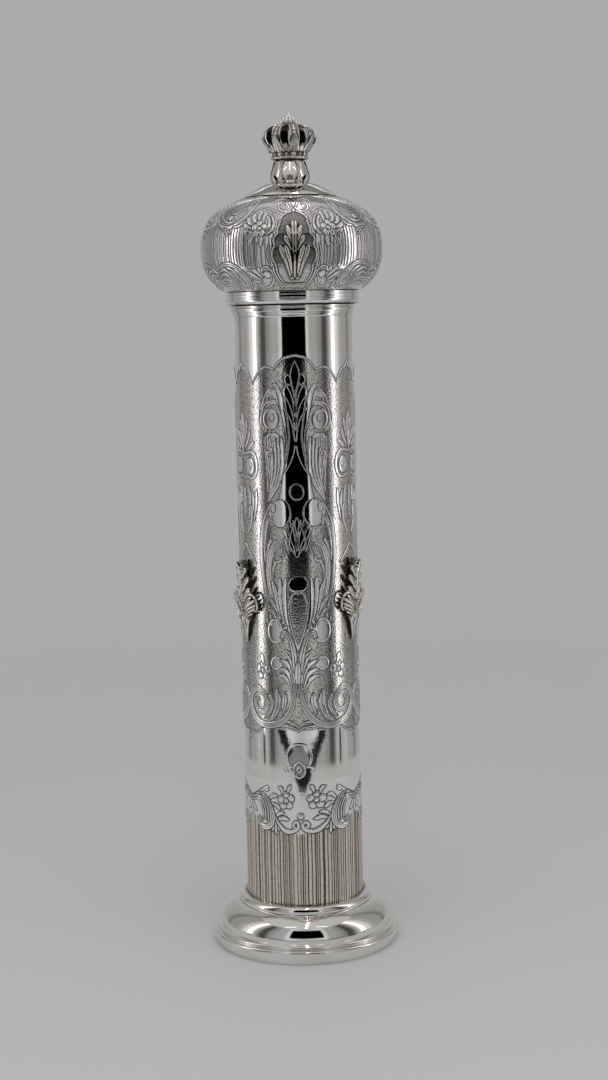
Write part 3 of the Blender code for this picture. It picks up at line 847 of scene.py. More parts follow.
def thinned(piece, goal):
    """Collapses the flattest faces down to a number of triangles; the seams stay whole."""
    height = places(piece)[:, 2]
    free = (height > height.min() + SEAM_MM) & (height < height.max() - SEAM_MM)
    inside = piece.vertex_groups.new(name="between the seams")
    inside.add([int(i) for i in np.flatnonzero(free)], 1.0, "REPLACE")
    apply_modifier(piece, "DECIMATE", ratio=goal / triangles(piece),
                   vertex_group=inside.name, vertex_group_factor=1000.0)
    piece.vertex_groups.clear()
    bpy.ops.object.shade_smooth_by_angle(angle=math.radians(CHASED_ANGLE))
    # Long thin faces lie beside the grooves; the flat fields keep their own direction.
    apply_modifier(piece, "WEIGHTED_NORMAL", keep_sharp=True)


# The front motif was chased a little askew: its foot stands a few degrees to one side.
ASKEW_DEGREES = -3.4
ASKEW_WIDTH = 26.0
ASKEW_TOP, ASKEW_LENGTH = 238.0, 130.0


def folded(degrees):
    """The same place on the drawn sixth, which is repeated and mirrored all round."""
    turned = degrees % THIRD
    return np.where(turned > THIRD / 2, THIRD - turned, turned)


def wandering(degrees, z):
    """Where the tube's sheet is read, with a hand's unsteadiness."""
    front = np.exp(-(((degrees + 180) % 360 - 180) / ASKEW_WIDTH) ** 2)
    drift = ASKEW_DEGREES * front * np.clip((ASKEW_TOP - z) / ASKEW_LENGTH, 0, 1)
    turn = np.radians(degrees)
    sway = 0.35 * np.sin(3 * turn + z / 17) + 0.25 * np.sin(7 * turn - z / 11 + 1.3)
    lift = 0.28 * np.sin(5 * turn + z / 23 + 0.7) + 0.15 * np.sin(11 * turn - z / 13)
    return folded(degrees - drift + sway), z + lift


def azimuths(points):
    """Degrees round the axis from the front, growing towards +X."""
    return np.degrees(np.arctan2(points[:, 0], -points[:, 1]))


REED_GROOVE_MM = 0.42   # the half width of the groove between two flutes
REED_DARK_MM = 0.46     # its oxide reaches a little further
REED_DEPTH_MM = 0.3


def reed_lines(circumference, pitch, seed):
    """Grooves at uneven steps round a band, and how dark and how deep each of them is."""
    rng = np.random.default_rng(seed)
    widths = rng.uniform(0.45, 1.55, int(circumference / pitch))
    lines = np.cumsum(widths) * circumference / widths.sum()
    return lines, rng.uniform(0.55, 1.0, len(lines)), rng.uniform(0.5, 1.0, len(lines))


def reeds(around, z, circumference, lines):
    """The relief and the oxide of uneven reeds beside each other."""
    edges, tones, depths = lines
    place = (around + 0.07 * np.sin(z / 4.3 + around / 7)) % circumference
    nearest = np.searchsorted(edges, place)
    before = np.where(nearest > 0, edges[nearest - 1], 0.0)
    after = edges[np.minimum(nearest, len(edges) - 1)]
    ahead = after - place < place - before
    which = np.where(ahead, np.minimum(nearest, len(edges) - 1), nearest - 1)
    gap = np.where(ahead, after - place, place - before)
    share = np.clip(gap / REED_GROOVE_MM, 0, 1)
    relief = -REED_DEPTH_MM * depths[which] * (1 - share) ** 1.5
    return relief, tones[which] * np.clip(1.6 * (1 - gap / REED_DARK_MM), 0, 1)


def band_profile(low, high, step):
    """The closed wall of one band of the tube: fine rows outside, two corners inside."""
    rows = np.linspace(high, low, max(2, round((high - low) / step) + 1))
    inner = TUBE_RADIUS - WALL_MM
    return [(TUBE_RADIUS, z) for z in rows] + [(inner, low), (inner, high)]


def push_out(piece, surface):
    """Moves the outer wall by surface(degrees, z), which gives relief, oxide and matting."""
    points = places(piece)
    radius = axis_distance(points)
    outer = radius > TUBE_RADIUS - WALL_MM / 2
    relief, oxide, matt = surface(azimuths(points), points[:, 2])
    grown = np.where(outer, (radius + relief) / radius, 1.0)
    points[:, :2] *= grown[:, None]
    put(piece, points)
    mark(piece, oxide=np.where(outer, oxide, 0), matt=np.where(outer, matt, 0))


# %% What each band of the tube shows
FOOT_TOP = top("foot")
MOUTH_Z = top("case_tube")
TUBE_AROUND = math.tau * TUBE_RADIUS
REEDS = reed_lines(TUBE_AROUND, pitch=1.4, seed=7)
# Round a cast leaf of the tube, in millimetres to each side of it and up from its foot:
SHADE_HALF = 8.5        # the painted shadow under the leaf reaches this far out
SHADE_FROM = 14.0       # and begins this far up
TARNISH_AND_SHADE_HALF = 15.0     # the paler painted shade and tarnish beside the leaf reach this far out
TARNISH_AND_SHADE_FROM = 2.0


def fluted(degrees, z):
    """The flutes above the foot."""
    relief, oxide = reeds(degrees / 360 * TUBE_AROUND, z, TUBE_AROUND, REEDS)
    return relief, oxide, np.ones(len(z))


def garlanded(degrees, z):
    """The garland, with the flutes on the ground that its sheet marks for them."""
    angle, height = wandering(degrees, z)
    relief, oxide, ground = garland_sheet.surface(angle * garland_sheet.mm_per_degree, height)
    cut_in, dark, _ = fluted(degrees, z)
    return relief + ground * cut_in, np.maximum(oxide, ground * dark), ground


def plain(degrees, z):
    """Polished silver without any ornament."""
    return 0 * z, 0 * z, 0 * z


def chased(degrees, z):
    """The chased field, with a painted shadow under the cast leaves and painted shade with tarnish
    beside them.
    """
    angle, height = wandering(degrees, z)
    relief, oxide, ground = tube_sheet.surface(angle * tube_sheet.mm_per_degree, height)
    side = np.abs((degrees % THIRD) - THIRD / 2) * tube_sheet.mm_per_degree
    up = z - LEAF_LOW
    gap = big_leaf.read(big_leaf.gap, side, np.clip(up, 0, LEAF_TALL))
    # Under a leaf a painted shadow is black from a third of the way up; beside it painted shade
    # with tarnish is only a little darker.
    under = np.clip(-(gap + 0.7) / 0.6, 0, 1) * (side < SHADE_HALF)
    under *= np.clip((up - SHADE_FROM) / 3, 0, 1)
    beside = 0.4 * np.clip(2 - gap / 2.5, 0, 1) * (up > TARNISH_AND_SHADE_FROM)
    near = np.where(up < LEAF_TALL, np.maximum(under, beside), 0) * (side < TARNISH_AND_SHADE_HALF)
    return relief, np.maximum(oxide, near), ground


# %% The bands of the tube, from the foot to the mouth
IN_FOOT_MM = 3.4        # how far the fluted band reaches down into the foot
GARLAND_LOW, GARLAND_HIGH = 60.0, 89.5
RELIEF_LOW, RELIEF_HIGH = 105.0, 303.8
CHASED_CUTS = (RELIEF_LOW, 172.0, 208.0, RELIEF_HIGH)
CHASED_TRIANGLES_PER_MM = 1950
GARLAND_TRIANGLES = 85000
FINE, TALL, COARSE = (0.24, 900), (1.6, 900), (3.0, 225)    # a row's height, the columns

# Each band's name, lowest and highest height, grid, surface and material, and the number
# of triangles that it is thinned to.
bands = [
    ("tube_fluted_band", FOOT_TOP - IN_FOOT_MM, GARLAND_LOW, TALL, fluted, FLUTED, None),
    ("tube_garland_band", GARLAND_LOW, GARLAND_HIGH, FINE, garlanded, FLUTED,
     GARLAND_TRIANGLES),
    ("tube_plain_band", GARLAND_HIGH, RELIEF_LOW, COARSE, plain, POLISHED, None),
    ("tube_neck_band", RELIEF_HIGH, MOUTH_Z, COARSE, plain, POLISHED, None),
]
for i, (low, high) in enumerate(zip(CHASED_CUTS, CHASED_CUTS[1:])):
    bands.append((f"tube_chased_band_{i + 1}", low, high, FINE, chased, CHASED,
                  CHASED_TRIANGLES_PER_MM * (high - low)))
for name, low, high, (row, columns), surface, material, goal in bands:
    band = spun(name, band_profile(low, high, row), columns)
    push_out(band, surface)
    if goal:
        thinned(band, goal)
    finish_piece(band, material, "silver_chased", "case_tube")

# %% [markdown]
# ## The bulb of the lid
#
# The bulb was raised from sheet and chased like the tube. Its middle is cut with uneven
# upright flutes. A border of open scrolls and leaf sprays runs round it below, and one of
# bigger scrolls, little garlands and paired volutes above. Round each cast leaf the ground is
# sunk and matted in a lobed frame. The sheet for it is as tall as the bulb's outline is long,
# so a shape keeps its proportions where the outline turns in.

# %% The bulb's outline
BULB_MIDDLE_Z = 354.7   # the height of the widest ring
BULB_POWER = 2.4        # 2 would be an ellipse; more is fuller
BULB_LOW = bottom("lid_dome")
BULB_HIGH = top("lid_dome")
BULB_RISE = 28.0        # how far its outline goes above and below the widest ring
BULB_DROP = 27.4


def bulb_radius(z):
    """The radius of the bulb's outline at a height."""
    share = np.abs(z - BULB_MIDDLE_Z) / np.where(z > BULB_MIDDLE_Z, BULB_RISE, BULB_DROP)
    return BULB_RADIUS * (1 - np.clip(share, 0, 1) ** BULB_POWER) ** (1 / BULB_POWER)


heights = np.linspace(BULB_LOW, BULB_HIGH, 2000)
outline = np.concatenate([[0], np.cumsum(np.hypot(np.diff(heights),
                                                  np.diff(bulb_radius(heights))))])
print("the bulb's outline is", round(outline[-1], 1), "mm long")


def along_bulb(z):
    """How far up the bulb's outline a height lies, in millimetres."""
    return np.interp(z, heights, outline)


# %% The bulb's lower border, drawn flat
LID_TURN = 1.8      # degrees; the loose lid was put on a little turned
bulb_sheet = Sheet(60, BULB_LOW, BULB_HIGH, BULB_RADIUS, along_bulb, groove=0.5)
between_edges(bulb_sheet, [(-2, 360), (12, 361), (15, 366), (34, 367), (46, 364.6), (62, 367)],
              [(-2, 345), (12, 345.4), (33, 345.2), (40, 347), (54, 347.4), (62, 343)], 0)
bulb_sheet.matt[:] = np.round(bulb_sheet.matt)
# The matting so far only marks where the flutes go; the borders are drawn over it.
stroke(bulb_sheet, [(61, 341.4), (57, 344.6), (52, 346.6), (46.5, 347.1), (40.5, 345.9),
                    (36, 343.4), (33.4, 340.4), (33, 337.4), (35, 335.5), (38.6, 335.1),
                    (41.8, 336.4), (41.8, 338.8), (39.4, 339.8), (37.6, 338.2)],
       1.0, STEM, 0.22, ribs=2)
strokes(bulb_sheet, [
    (0.6, LEAF, [(45, 335.6), (50, 336.8), (55, 337.6), (61, 337)]),
    (0.65, LEAF, [(44, 336.6), (48.6, 338.8), (54, 340), (61, 339.2)]),
    (0.7, LEAF, [(43.4, 337.8), (47.6, 340.8), (53, 342.4), (59, 341.4)]),
    (0.75, LEAF, [(42.4, 339.4), (46, 342.6), (51.6, 344.6), (57, 343.4)]),
    (0.7, LEAF, [(39.4, 341.2), (43, 344), (48.4, 345.6)]),
])
strokes(bulb_sheet, [
    (0.65, STEM, [(14.2, 340.6), (15.8, 337.6), (19.4, 335.8), (24, 335.9), (27.6, 337.6)]),
    (0.8, LEAF, [(23, 337.6), (27.6, 338.4), (31.6, 339.8)]),
    (1, LEAF, [(23.4, 339), (27.8, 341.2), (31.4, 343)]),
    (1.15, LEAF, [(22.4, 340.2), (25.6, 342.8), (28.2, 344.6)]),
    (1.25, LEAF, [(20.8, 340.8), (22.6, 343.2), (24.2, 344.8)]),
    (0.7, STEM, [(9.8, 335.1), (12.8, 339.6), (15, 343.4), (17.6, 345.2), (20.6, 345),
                 (22.2, 343)]),
])
disc(bulb_sheet, (18.5, 341.6), (1.75, 2.0), 0.3, 4)
stroke(bulb_sheet, [(28.8, 334.9), (29.6, 337.2), (30.4, 339.2)], 0.95, LEAF, 0.3, ribs=2)

# %% The bulb's upper border and its garland
stroke(bulb_sheet, [(61, 369.6), (56.4, 366.5), (50, 364.9), (44.6, 364.9), (39.6, 366),
                    (35.4, 368), (32, 371), (29.8, 374.6), (29.6, 378.2)], 0.95, STEM, 0.24)
strokes(bulb_sheet, [
    (0.6, STEM, [(60, 372.6), (55, 369.4), (49.6, 367.4), (44, 367.3), (39.6, 368.8),
                 (36, 371.4), (34, 374.8), (33.8, 378.4)]),
    (0.75, LEAF, [(37, 373.4), (43, 371.4), (50, 371.6)]),
    (0.5, STEM, [(51.4, 364.1), (47, 363.4), (43.4, 361.8)]),
    (0.45, STEM, [(49, 363), (46.6, 361.9), (44.6, 360.6)]),
    (0.85, LEAF, [(41.4, 364.8), (36.8, 365.2), (33.2, 367.2)]),
])
disc(bulb_sheet, (47, 369.4), (1.9, 1.5), 0.3, 3)
for up in (0.0, 1.3, 2.6):
    cut(bulb_sheet, [(60, 374.4 + up), (54, 372.8 + up), (48, 372.2 + up), (42, 373.6 + up),
                     (38.6, 376.4 + up)], 0.14, 0.9)
disc(bulb_sheet, (32.6, 377.6), (1.0, 0.9), 0.3, 3)
strokes(bulb_sheet, [
    (0.5, STEM, [(12.4, 371.2), (17, 373), (22, 373.5), (27, 372.6), (31, 370)]),
    (0.65, STEM, [(16.4, 360.4), (13.2, 362.6), (12.6, 366.6), (14.8, 369.8)]),
    (0.8, STEM, [(17.2, 362.6), (15.4, 364.8), (15.6, 367.6), (17.8, 369.4)]),
    (1.05, LEAF, [(19.4, 366), (19.6, 368.8), (18.2, 371.4)]),
    (1.1, LEAF, [(22, 366.6), (23, 369.2), (22, 371.8)]),
    (1.1, LEAF, [(24.4, 366.4), (26.8, 368.4), (27.2, 371)]),
    (1, LEAF, [(26, 365), (29.4, 366.6), (31.6, 369.2)]),
    (1, LEAF, [(26.4, 363.4), (30, 364.2), (33.4, 366)]),
    (0.9, LEAF, [(26, 361.8), (29.4, 361.7), (32, 363)]),
    (0.7, LEAF, [(23.2, 359.8), (23.5, 358.2), (23.1, 356.6)]),
    (1.05, LEAF, [(20.6, 360), (20.1, 357.6), (21.2, 355)]),
    (1, LEAF, [(25.4, 360.2), (27, 358), (29, 355.8)]),
])
flower(bulb_sheet, (21.8, 363.3), 2.6, 1.55)
strokes(bulb_sheet, [
    (0.7, STEM, [(-1.4, 373.8), (1.4, 371.8), (5.4, 370.6), (8.4, 368.3), (9.6, 365.2)]),
    (0.7, STEM, [(0.2, 371.6), (2.4, 374.8), (5.6, 377.2), (10.4, 377.8), (14.6, 376.2)]),
    (0.75, STEM, [(1, 373.4), (4.2, 371.7), (8, 371.6), (10.8, 373.4), (10.4, 375.4),
                  (8, 375.8), (6.6, 374.7)]),
])
print("sheet of", bulb_sheet.relief.shape, "cells")

# %% The sunk frame round each cast leaf
FRAME_EDGE = [(-3, 371), (1.6, 370.8), (5.8, 369.4), (8.2, 366.8), (9.2, 364.4), (10, 362.4),
              (9.8, 360.8), (11.4, 359.6), (12.4, 357.4), (11.6, 355.2), (13, 353.4),
              (13.7, 350.6), (12.9, 347.8), (11.7, 346), (11.5, 343), (10.6, 340.6),
              (9, 338.6), (7.2, 337.2), (-3, 337)]
FRAME_PALE_Z = 343.0    # up to this height the frame's ground stays pale; above it, it grows darker
FRAME_FADE_MM = 8.0


def sink_frame(sheet, edge, depth):
    """Sinks the ground from the leaf's middle to an edge line, darker upwards, unfluted."""
    line = curve_through(sheet.flat(edge))
    x, z = np.meshgrid(sheet.x, sheet.z)
    inside = np.zeros(x.shape, bool)
    for (x0, z0), (x1, z1) in zip(line, np.roll(line, -1, axis=0)):
        crosses = (z0 > z) != (z1 > z)
        if crosses.any():
            at = x0 + (z - z0) / (z1 - z0 if z1 != z0 else 1e-9) * (x1 - x0)
            inside ^= crosses & (x < at)
    inside &= x > line[0, 0]
    sheet.relief[inside] = -depth
    upward = np.clip((z[inside] - sheet.height_of(FRAME_PALE_Z)) / FRAME_FADE_MM, 0, 1)
    sheet.oxide[inside] = 0.12 + 0.43 * upward
    sheet.matt[inside] = 0.0


WALL_FROM, WALL_FADE = 0.78, 0.14       # shares of a hollow's radius


def hollow(sheet, centre, radii, depth, dark):
    """Sinks a round hollow that is blackest along its wall; the radii are in mm."""
    middle = sheet.flat([centre])[0]
    area = sheet.window(middle - radii, middle + radii)
    x, z = np.meshgrid(sheet.x[area[1]] - middle[0], sheet.z[area[0]] - middle[1])
    out = np.hypot(x / radii[0], z / radii[1])
    inside = out < 1
    sheet.relief[area][inside] = -depth * np.sqrt(1 - out[inside] ** 6)
    wall = np.clip((out[inside] - WALL_FROM) / WALL_FADE, 0, 1)
    streak = 0.1 * np.sin(9 * x[inside] + 2 * z[inside])
    # The hollow's oxide is paler towards its bottom.
    paler_below = 1 - 0.55 * np.clip(-z[inside] / radii[1], 0, 1)
    sheet.oxide[area][inside] = np.clip((dark + streak + (1 - dark) * wall) * paler_below, 0, 1)


sink_frame(bulb_sheet, FRAME_EDGE, 0.3)
hollow(bulb_sheet, (8.2, 357.9), (3.3, 3.1), 0.35, 0.72)
hollow(bulb_sheet, (8.4, 350.4), (4.1, 4.2), 0.35, 0.66)
stroke(bulb_sheet, FRAME_EDGE[3:-1], 0.42, EVEN, 0.3)
stroke(bulb_sheet, [(7.2, 337.2), (0, 337), (-3, 337)], 0.42, EVEN, 0.3)
stroke(bulb_sheet, [(15.4, 355.6), (16.4, 350.6), (15.6, 346.4)], 0.4, STEM, 0.2)
stroke(bulb_sheet, [(13.6, 345), (13.4, 342.6), (12, 339.6), (8.6, 335.6)], 0.4, EVEN, 0.2)

# %% The bulb itself, in an upper and a lower shell
BULB_COLUMNS = 1350
BULB_ROW_MM = 0.25
BULB_PARTING = 356.0
BULB_TRIANGLES = 115000
BULB_AROUND = math.tau * BULB_RADIUS
BULB_REEDS = reed_lines(BULB_AROUND, pitch=1.55, seed=11)
BULB_REED_SHARE = 0.8   # the bulb's flutes are shallower than the tube's
BULB_REED_LIFT = 0.1
BULB_MATTED_Z = 376.0   # above this height the ground is left smooth
LID_LEAF_SIDE = 12.0    # degrees; painted shade lies round the cast leaf in a field this big
LID_LEAF_RISE = 28.5


def shell_profile(low, high):
    """Rows evenly spaced along the outline outside, a few inside."""
    ends = along_bulb(np.array([high, low]))
    rows = np.linspace(*ends, round((ends[0] - ends[1]) / BULB_ROW_MM))
    outside = np.interp(rows, outline, heights)
    inside = np.interp(np.linspace(ends[1], ends[0], 8), outline, heights)
    return ([(bulb_radius(z), z) for z in outside]
            + [(bulb_radius(z) - WALL_MM, z) for z in inside])


def chase_bulb(shell):
    """Moves the outer wall by the sheet's relief and stores its oxide and matting."""
    points = places(shell)
    radius = axis_distance(points)
    on_outside = radius > bulb_radius(points[:, 2]) - WALL_MM / 2
    degrees, height = azimuths(points) - LID_TURN, points[:, 2]
    angle = folded(degrees + 0.3 * np.sin(np.radians(5 * degrees) + height / 9))
    relief, oxide, mask = bulb_sheet.surface(angle * bulb_sheet.mm_per_degree,
                                             along_bulb(height))
    cut_in, dark = reeds(degrees / 360 * BULB_AROUND, height, BULB_AROUND, BULB_REEDS)
    relief = relief + mask * (BULB_REED_SHARE * cut_in + BULB_REED_LIFT)
    oxide = np.maximum(oxide, mask * dark)
    # Close round the cast leaf the ground gets painted shade, black at the leaf's edge.
    side = (degrees + THIRD) % (2 * THIRD) - THIRD
    rise = height - bottom("lid_leaf_1")
    gap = small_leaf.read(small_leaf.gap, np.abs(side) * bulb_sheet.mm_per_degree, rise)
    shade = 0.95 * np.clip(1.7 - gap / 0.5, 0, 1) + 0.65 * np.clip(1 - gap / 3.6, 0, 1)
    near = (np.abs(side) < LID_LEAF_SIDE) & (rise > 0) & (rise < LID_LEAF_RISE)
    oxide = np.maximum(oxide, np.where(near, np.clip(shade, 0, 1), 0))
    # The borders lie on a ground that is matted, up to where the bulb turns flat.
    ground = (1 - mask) * np.clip((BULB_MATTED_Z - height) / 5, 0, 1) * (relief < 0.06)
    slope = np.gradient(bulb_radius(heights), heights)
    lean = np.interp(height, heights, slope)
    moved = np.where(on_outside, relief, 0) / np.hypot(1, lean)
    points[:, :2] *= ((radius + moved) / radius)[:, None]
    points[:, 2] -= moved * lean
    put(shell, points)
    mark(shell, oxide=np.where(on_outside, oxide, 0),
         matt=np.where(on_outside, 0.75 * ground, 0))


for name, low, high in (("lid_bulb_lower", BULB_LOW, BULB_PARTING),
                        ("lid_bulb_upper", BULB_PARTING, BULB_HIGH)):
    shell = spun(name, shell_profile(low, high), BULB_COLUMNS)
    chase_bulb(shell)
    thinned(shell, BULB_TRIANGLES)
    finish_piece(shell, CHASED, "silver_chased", "lid_dome")

# %% [markdown]
# ## The spun foot, the rings, the cap and the neck
#
# These were turned on a lathe and polished to a mirror, so each is an outline spun round the
# axis with many steps. A mirror shows every flat face, which is why a round corner gets a
# dozen points here where the CAD model has two or three.

# %% Outlines


def arc(centre, size, start, end, count=12):
    """Points on an oval arc in the (radius, height) plane, angles in degrees."""
    angles = np.radians(np.linspace(start, end, count + 1))
    return [(centre[0] + size[0] * math.cos(a), centre[1] + size[1] * math.sin(a))
            for a in angles]


def rounded(points, step):
    """A smooth line through given (radius, height) points."""
    return [tuple(p) for p in curve_through(np.array(points, float), step)]


def raised(base, *points):
    """(radius, height) points whose heights are counted from a base."""
    return [(r, base + up) for r, up in points]


GAP = 0.3               # the clearance of the parts that slide over each other
SPIN_STEPS = 192
SMALL_SPIN_STEPS = 96
FOOT_RADIUS = reach("foot")


def foot_profile():
    """The bead at the tube, two sweeping hollows, a step, the rim and the inner wall."""
    high, wide = FOOT_TOP, FOOT_RADIUS
    return [
        (TUBE_RADIUS + GAP, high),
        *arc((TUBE_RADIUS + 1.6, high - 3.1), (2.8, 3.1), 80, -20),
        *arc((TUBE_RADIUS + 0.55, high - 17.23), (14.0, 14.0), 74, 36, 16),
        *arc((wide - 15.3, 9.7), (11.5, 11.5), 34, 0, 16),
        *arc((wide - 2.8, 8.2), (1.2, 1.0), 80, -45, 10),
        *arc((wide - 1.3, 5.9), (1.3, 1.3), 80, 0, 10),
        (wide - 0.1, 5.0), (wide - 0.7, 2.2), (wide - 1.6, 0.0),
        (wide - 2.4, 0.0), (wide - 1.3 - WALL_MM, 5.8),
        *arc((wide - 15.3, 9.0), (11.5 - WALL_MM, 11.7), 0, 66, 16),
        (TUBE_RADIUS + GAP, high - 4.1)]


foot = spun("foot_spun", foot_profile(), SPIN_STEPS)
finish_piece(foot, POLISHED, "silver_polished", "foot")

# %% The ring at the tube's mouth and the ridged rim of the lid
RING_LOW = bottom("mouth_ring")
RIM_TOP = top("lid_rim")
RIM_LOW = bottom("lid_rim")
RIM_RADIUS = reach("lid_rim")


def mouth_ring_profile():
    """A lip, a flat band and a flank that runs in to the tube."""
    inside = TUBE_RADIUS + GAP
    lip = arc((31.1, 326.75), (0.4, 0.6), 90, -80, 8)
    band = [(31.1, 325.9), (31.4, 325.7), (31.5, 325.5), (31.5, 325.4), (31.5, 324.4),
            (31.5, 324.3), (31.35, 324.1)]
    flank = rounded([(31.3, 324.0), (31.1, 323.2), (30.8, 322.2), (inside + 0.15, RING_LOW)],
                    0.4)
    return ([(31.0, MOUTH_Z)] + lip + band + flank[1:]
            + [(inside, RING_LOW), (inside, MOUTH_Z)])


def lid_rim_profile():
    """Three flat ridges with sharp grooves between them, and the spigot inside."""
    seat = MOUTH_Z + GAP
    ridges = [(33.5, RIM_TOP)]
    for wide, high, low in ((33.75, 333.7, 332.55), (33.95, 332.1, 330.85),
                            (RIM_RADIUS, 330.4, 329.75)):
        ridges += [(wide - 0.08, high), (wide, high - 0.08), (wide, high - 0.16),
                   (wide, low + 0.16), (wide, low + 0.08), (wide - 0.08, low),
                   (wide - 0.3, low - 0.12), (wide - 0.3, low - 0.3)]
    flank = rounded([(RIM_RADIUS - 0.1, 329.6), (34.0, 329.0), (33.6, 328.3), (33.2, seat)],
                    0.3)
    spigot = TUBE_RADIUS - WALL_MM - GAP
    inner = [(spigot, seat), (spigot, RIM_LOW), (spigot - WALL_MM, RIM_LOW),
             (spigot - WALL_MM, RIM_TOP)]
    return ridges[:-2] + flank + inner


ring = spun("mouth_ring_spun", mouth_ring_profile(), SPIN_STEPS)
finish_piece(ring, POLISHED, "silver_polished", "mouth_ring")
rim = spun("lid_rim_ridged", lid_rim_profile(), SPIN_STEPS)
# Along the underside, where the lid meets the tube, painted shade with some oxide darkens the
# parting line.
points = places(rim)
seat_shade = points[:, 2] < MOUTH_Z + GAP + 0.25
mark(rim, oxide=0.9 * seat_shade, matt=0)
finish_piece(rim, CHASED, "silver_polished", "lid_rim")

# %% The saucer-shaped cap and the bell-shaped neck
CAP_LOW = bottom("lid_cap")
CAP_TOP = top("lid_cap")
CAP_RADIUS = reach("lid_cap")
NECK_LOW = bottom("finial_neck")
NECK_TOP = top("finial_neck")

cap_outer = rounded([(7.0, CAP_TOP), (8.6, CAP_TOP), (11.6, 386.8), (15.0, 385.4),
                     (18.0, 383.9), (20.4, 382.6), (22.0, 381.6), (CAP_RADIUS - 0.25, 380.9)],
                    0.6)
cap_edge = [(CAP_RADIUS, CAP_LOW + 0.12), (CAP_RADIUS - 0.1, CAP_LOW)]
cap_inner = [(CAP_RADIUS - WALL_MM, CAP_LOW), (18.0, 383.9 - WALL_MM), (11.6, 386.0),
             (7.0, 386.5)]
cap = spun("lid_cap_spun", cap_outer + cap_edge + cap_inner, SPIN_STEPS)
finish_piece(cap, POLISHED, "silver_polished", "lid_cap")

neck_outer = rounded([(6.5, NECK_TOP), (7.0, NECK_TOP - 0.2), (7.6, 396.8), (8.3, 395.0),
                      (9.1, 392.2), (9.4, 390.4), (8.7, 388.8), (7.8, NECK_LOW)], 0.4)
neck = spun("finial_neck_spun", neck_outer + [(7.0, NECK_LOW), (6.0, NECK_TOP)],
            SMALL_SPIN_STEPS)
finish_piece(neck, POLISHED, "silver_polished", "finial_neck")

# %% The floor inside the tube
TUBE_FLOOR = bottom("case_tube")
inside = TUBE_RADIUS - WALL_MM - 0.1
floor_plate = spun("tube_floor_disc", [
    (0, TUBE_FLOOR), (inside, TUBE_FLOOR), (inside, TUBE_FLOOR + WALL_MM),
    (0, TUBE_FLOOR + WALL_MM)], SMALL_SPIN_STEPS)
finish_piece(floor_plate, POLISHED, "silver_polished", "case_tube")

# %% [markdown]
# ## The cast leaves, cut out and bent
#
# A grid reads the drawn half leaf at both sides of its middle. Everything outside the drawn
# shapes is cut off, and the cut edge is drawn onto the outline. Then the plate gets a wall
# that is thin at the edges and reaches down to the silver further in, as a pinned-on casting
# does, and is bent round the case.

# %% Cutting a plate out of a drawn half
EDGE_MM = 0.2           # how far inside the outline the cut edge reads its height
THIN_EDGE_MM = 0.35     # the plate is thin this far in from its outline
DEEPEST_MM = 3.0
BACK_SLOPE = 1.8        # how steeply its back falls away further in
WELD = 0.00002          # metres


def cut_out(name, sheet, wide, tall, cell, thick, goal):
    """A plate in flat (side, up, out) millimetres, cut along the sheet's raised shapes."""
    plate = new_grid(name, round(2 * wide / cell), round(tall / cell))
    points = places(plate) * MM
    side, up = points[:, 0] * 2 * wide, (points[:, 1] + 0.5) * tall
    gap = sheet.read(sheet.gap, np.abs(side), up)
    move_up, move_side = (sheet.read(slope, np.abs(side), up)
                          for slope in np.gradient(sheet.gap, CELL_MM))
    move_side *= np.sign(side)
    # Points just outside go to the outline, and the relief is read a little inside it.
    out = np.clip(gap, 0, 2 * cell)
    side, up = side - out * move_side, up - out * move_up
    inner = np.where(gap > -EDGE_MM, EDGE_MM, 0.0)
    at_side, at_up = np.abs(side - inner * move_side), up - inner * move_up
    relief = sheet.read(sheet.relief, at_side, at_up)
    put(plate, np.stack([side, up, relief], 1))
    mark(plate, oxide=sheet.read(sheet.oxide, at_side, at_up), matt=0)
    bpy.ops.object.mode_set(mode="EDIT")
    bpy.ops.mesh.select_all(action="DESELECT")
    bpy.ops.object.mode_set(mode="OBJECT")
    outside = gap >= 0
    for face in plate.data.polygons:
        face.select = all(outside[v] for v in face.vertices)
    bpy.ops.object.mode_set(mode="EDIT")
    bpy.ops.mesh.delete(type="FACE")
    bpy.ops.mesh.select_all(action="SELECT")
    bpy.ops.mesh.remove_doubles(threshold=WELD)
    bpy.ops.object.mode_set(mode="OBJECT")
    front = len(plate.data.vertices)
    apply_modifier(plate, "SOLIDIFY", thickness=thick * MM)
    # The back lies straight under the front, deeper the further it is from the outline.
    points = places(plate)
    points[front:] = points[:front]
    inset = -sheet.read(sheet.gap, np.abs(points[:, 0]), points[:, 1])[front:]
    deeper = np.clip(inset - THIN_EDGE_MM, 0, DEEPEST_MM)
    points[front:, 2] -= thick + BACK_SLOPE * deeper
    points[:, 2] = np.maximum(points[:, 2], -EDGE_MM)
    put(plate, points)
    apply_modifier(plate, "DECIMATE", ratio=min(1.0, goal / triangles(plate)))
    return plate


def darkened(piece, dark=0.9):
    """Darkens whatever faces the axis: painted shade, with some oxide, where neither light nor
    brush reaches.
    """
    points = places(piece)
    face_out = np.empty(len(points) * 3, np.float32)
    piece.data.vertices.foreach_get("normal", face_out)
    radius = np.maximum(axis_distance(points), 0.1)
    inward = -(face_out[0::3] * points[:, 0] + face_out[1::3] * points[:, 1]) / radius
    old = np.empty(len(points), np.float32)
    piece.data.attributes["oxide"].data.foreach_get("value", old)
    mark(piece, oxide=np.maximum(old, dark * np.clip(1.6 * inward, 0, 1)))


def bent(plate, name, surface, low_z, azimuth):
    """A copy of a flat plate bent round the case at an azimuth in degrees."""
    leaf = new_copy(plate, name)
    leaf.data.name = name
    side, up, out = places(leaf).T
    z = low_z + up
    r = surface(z) + out
    turn = math.radians(azimuth) + side / surface(z)
    put(leaf, np.stack([r * np.sin(turn), -r * np.cos(turn), z], 1))
    bpy.ops.object.select_all(action="DESELECT")
    leaf.select_set(True)
    bpy.context.view_layer.objects.active = leaf
    face_outward(CHASED_ANGLE)
    darkened(leaf)
    return leaf


def tube_surface(z):
    """The tube's radius at a height, which is the same everywhere."""
    return np.full(np.shape(z), TUBE_RADIUS)


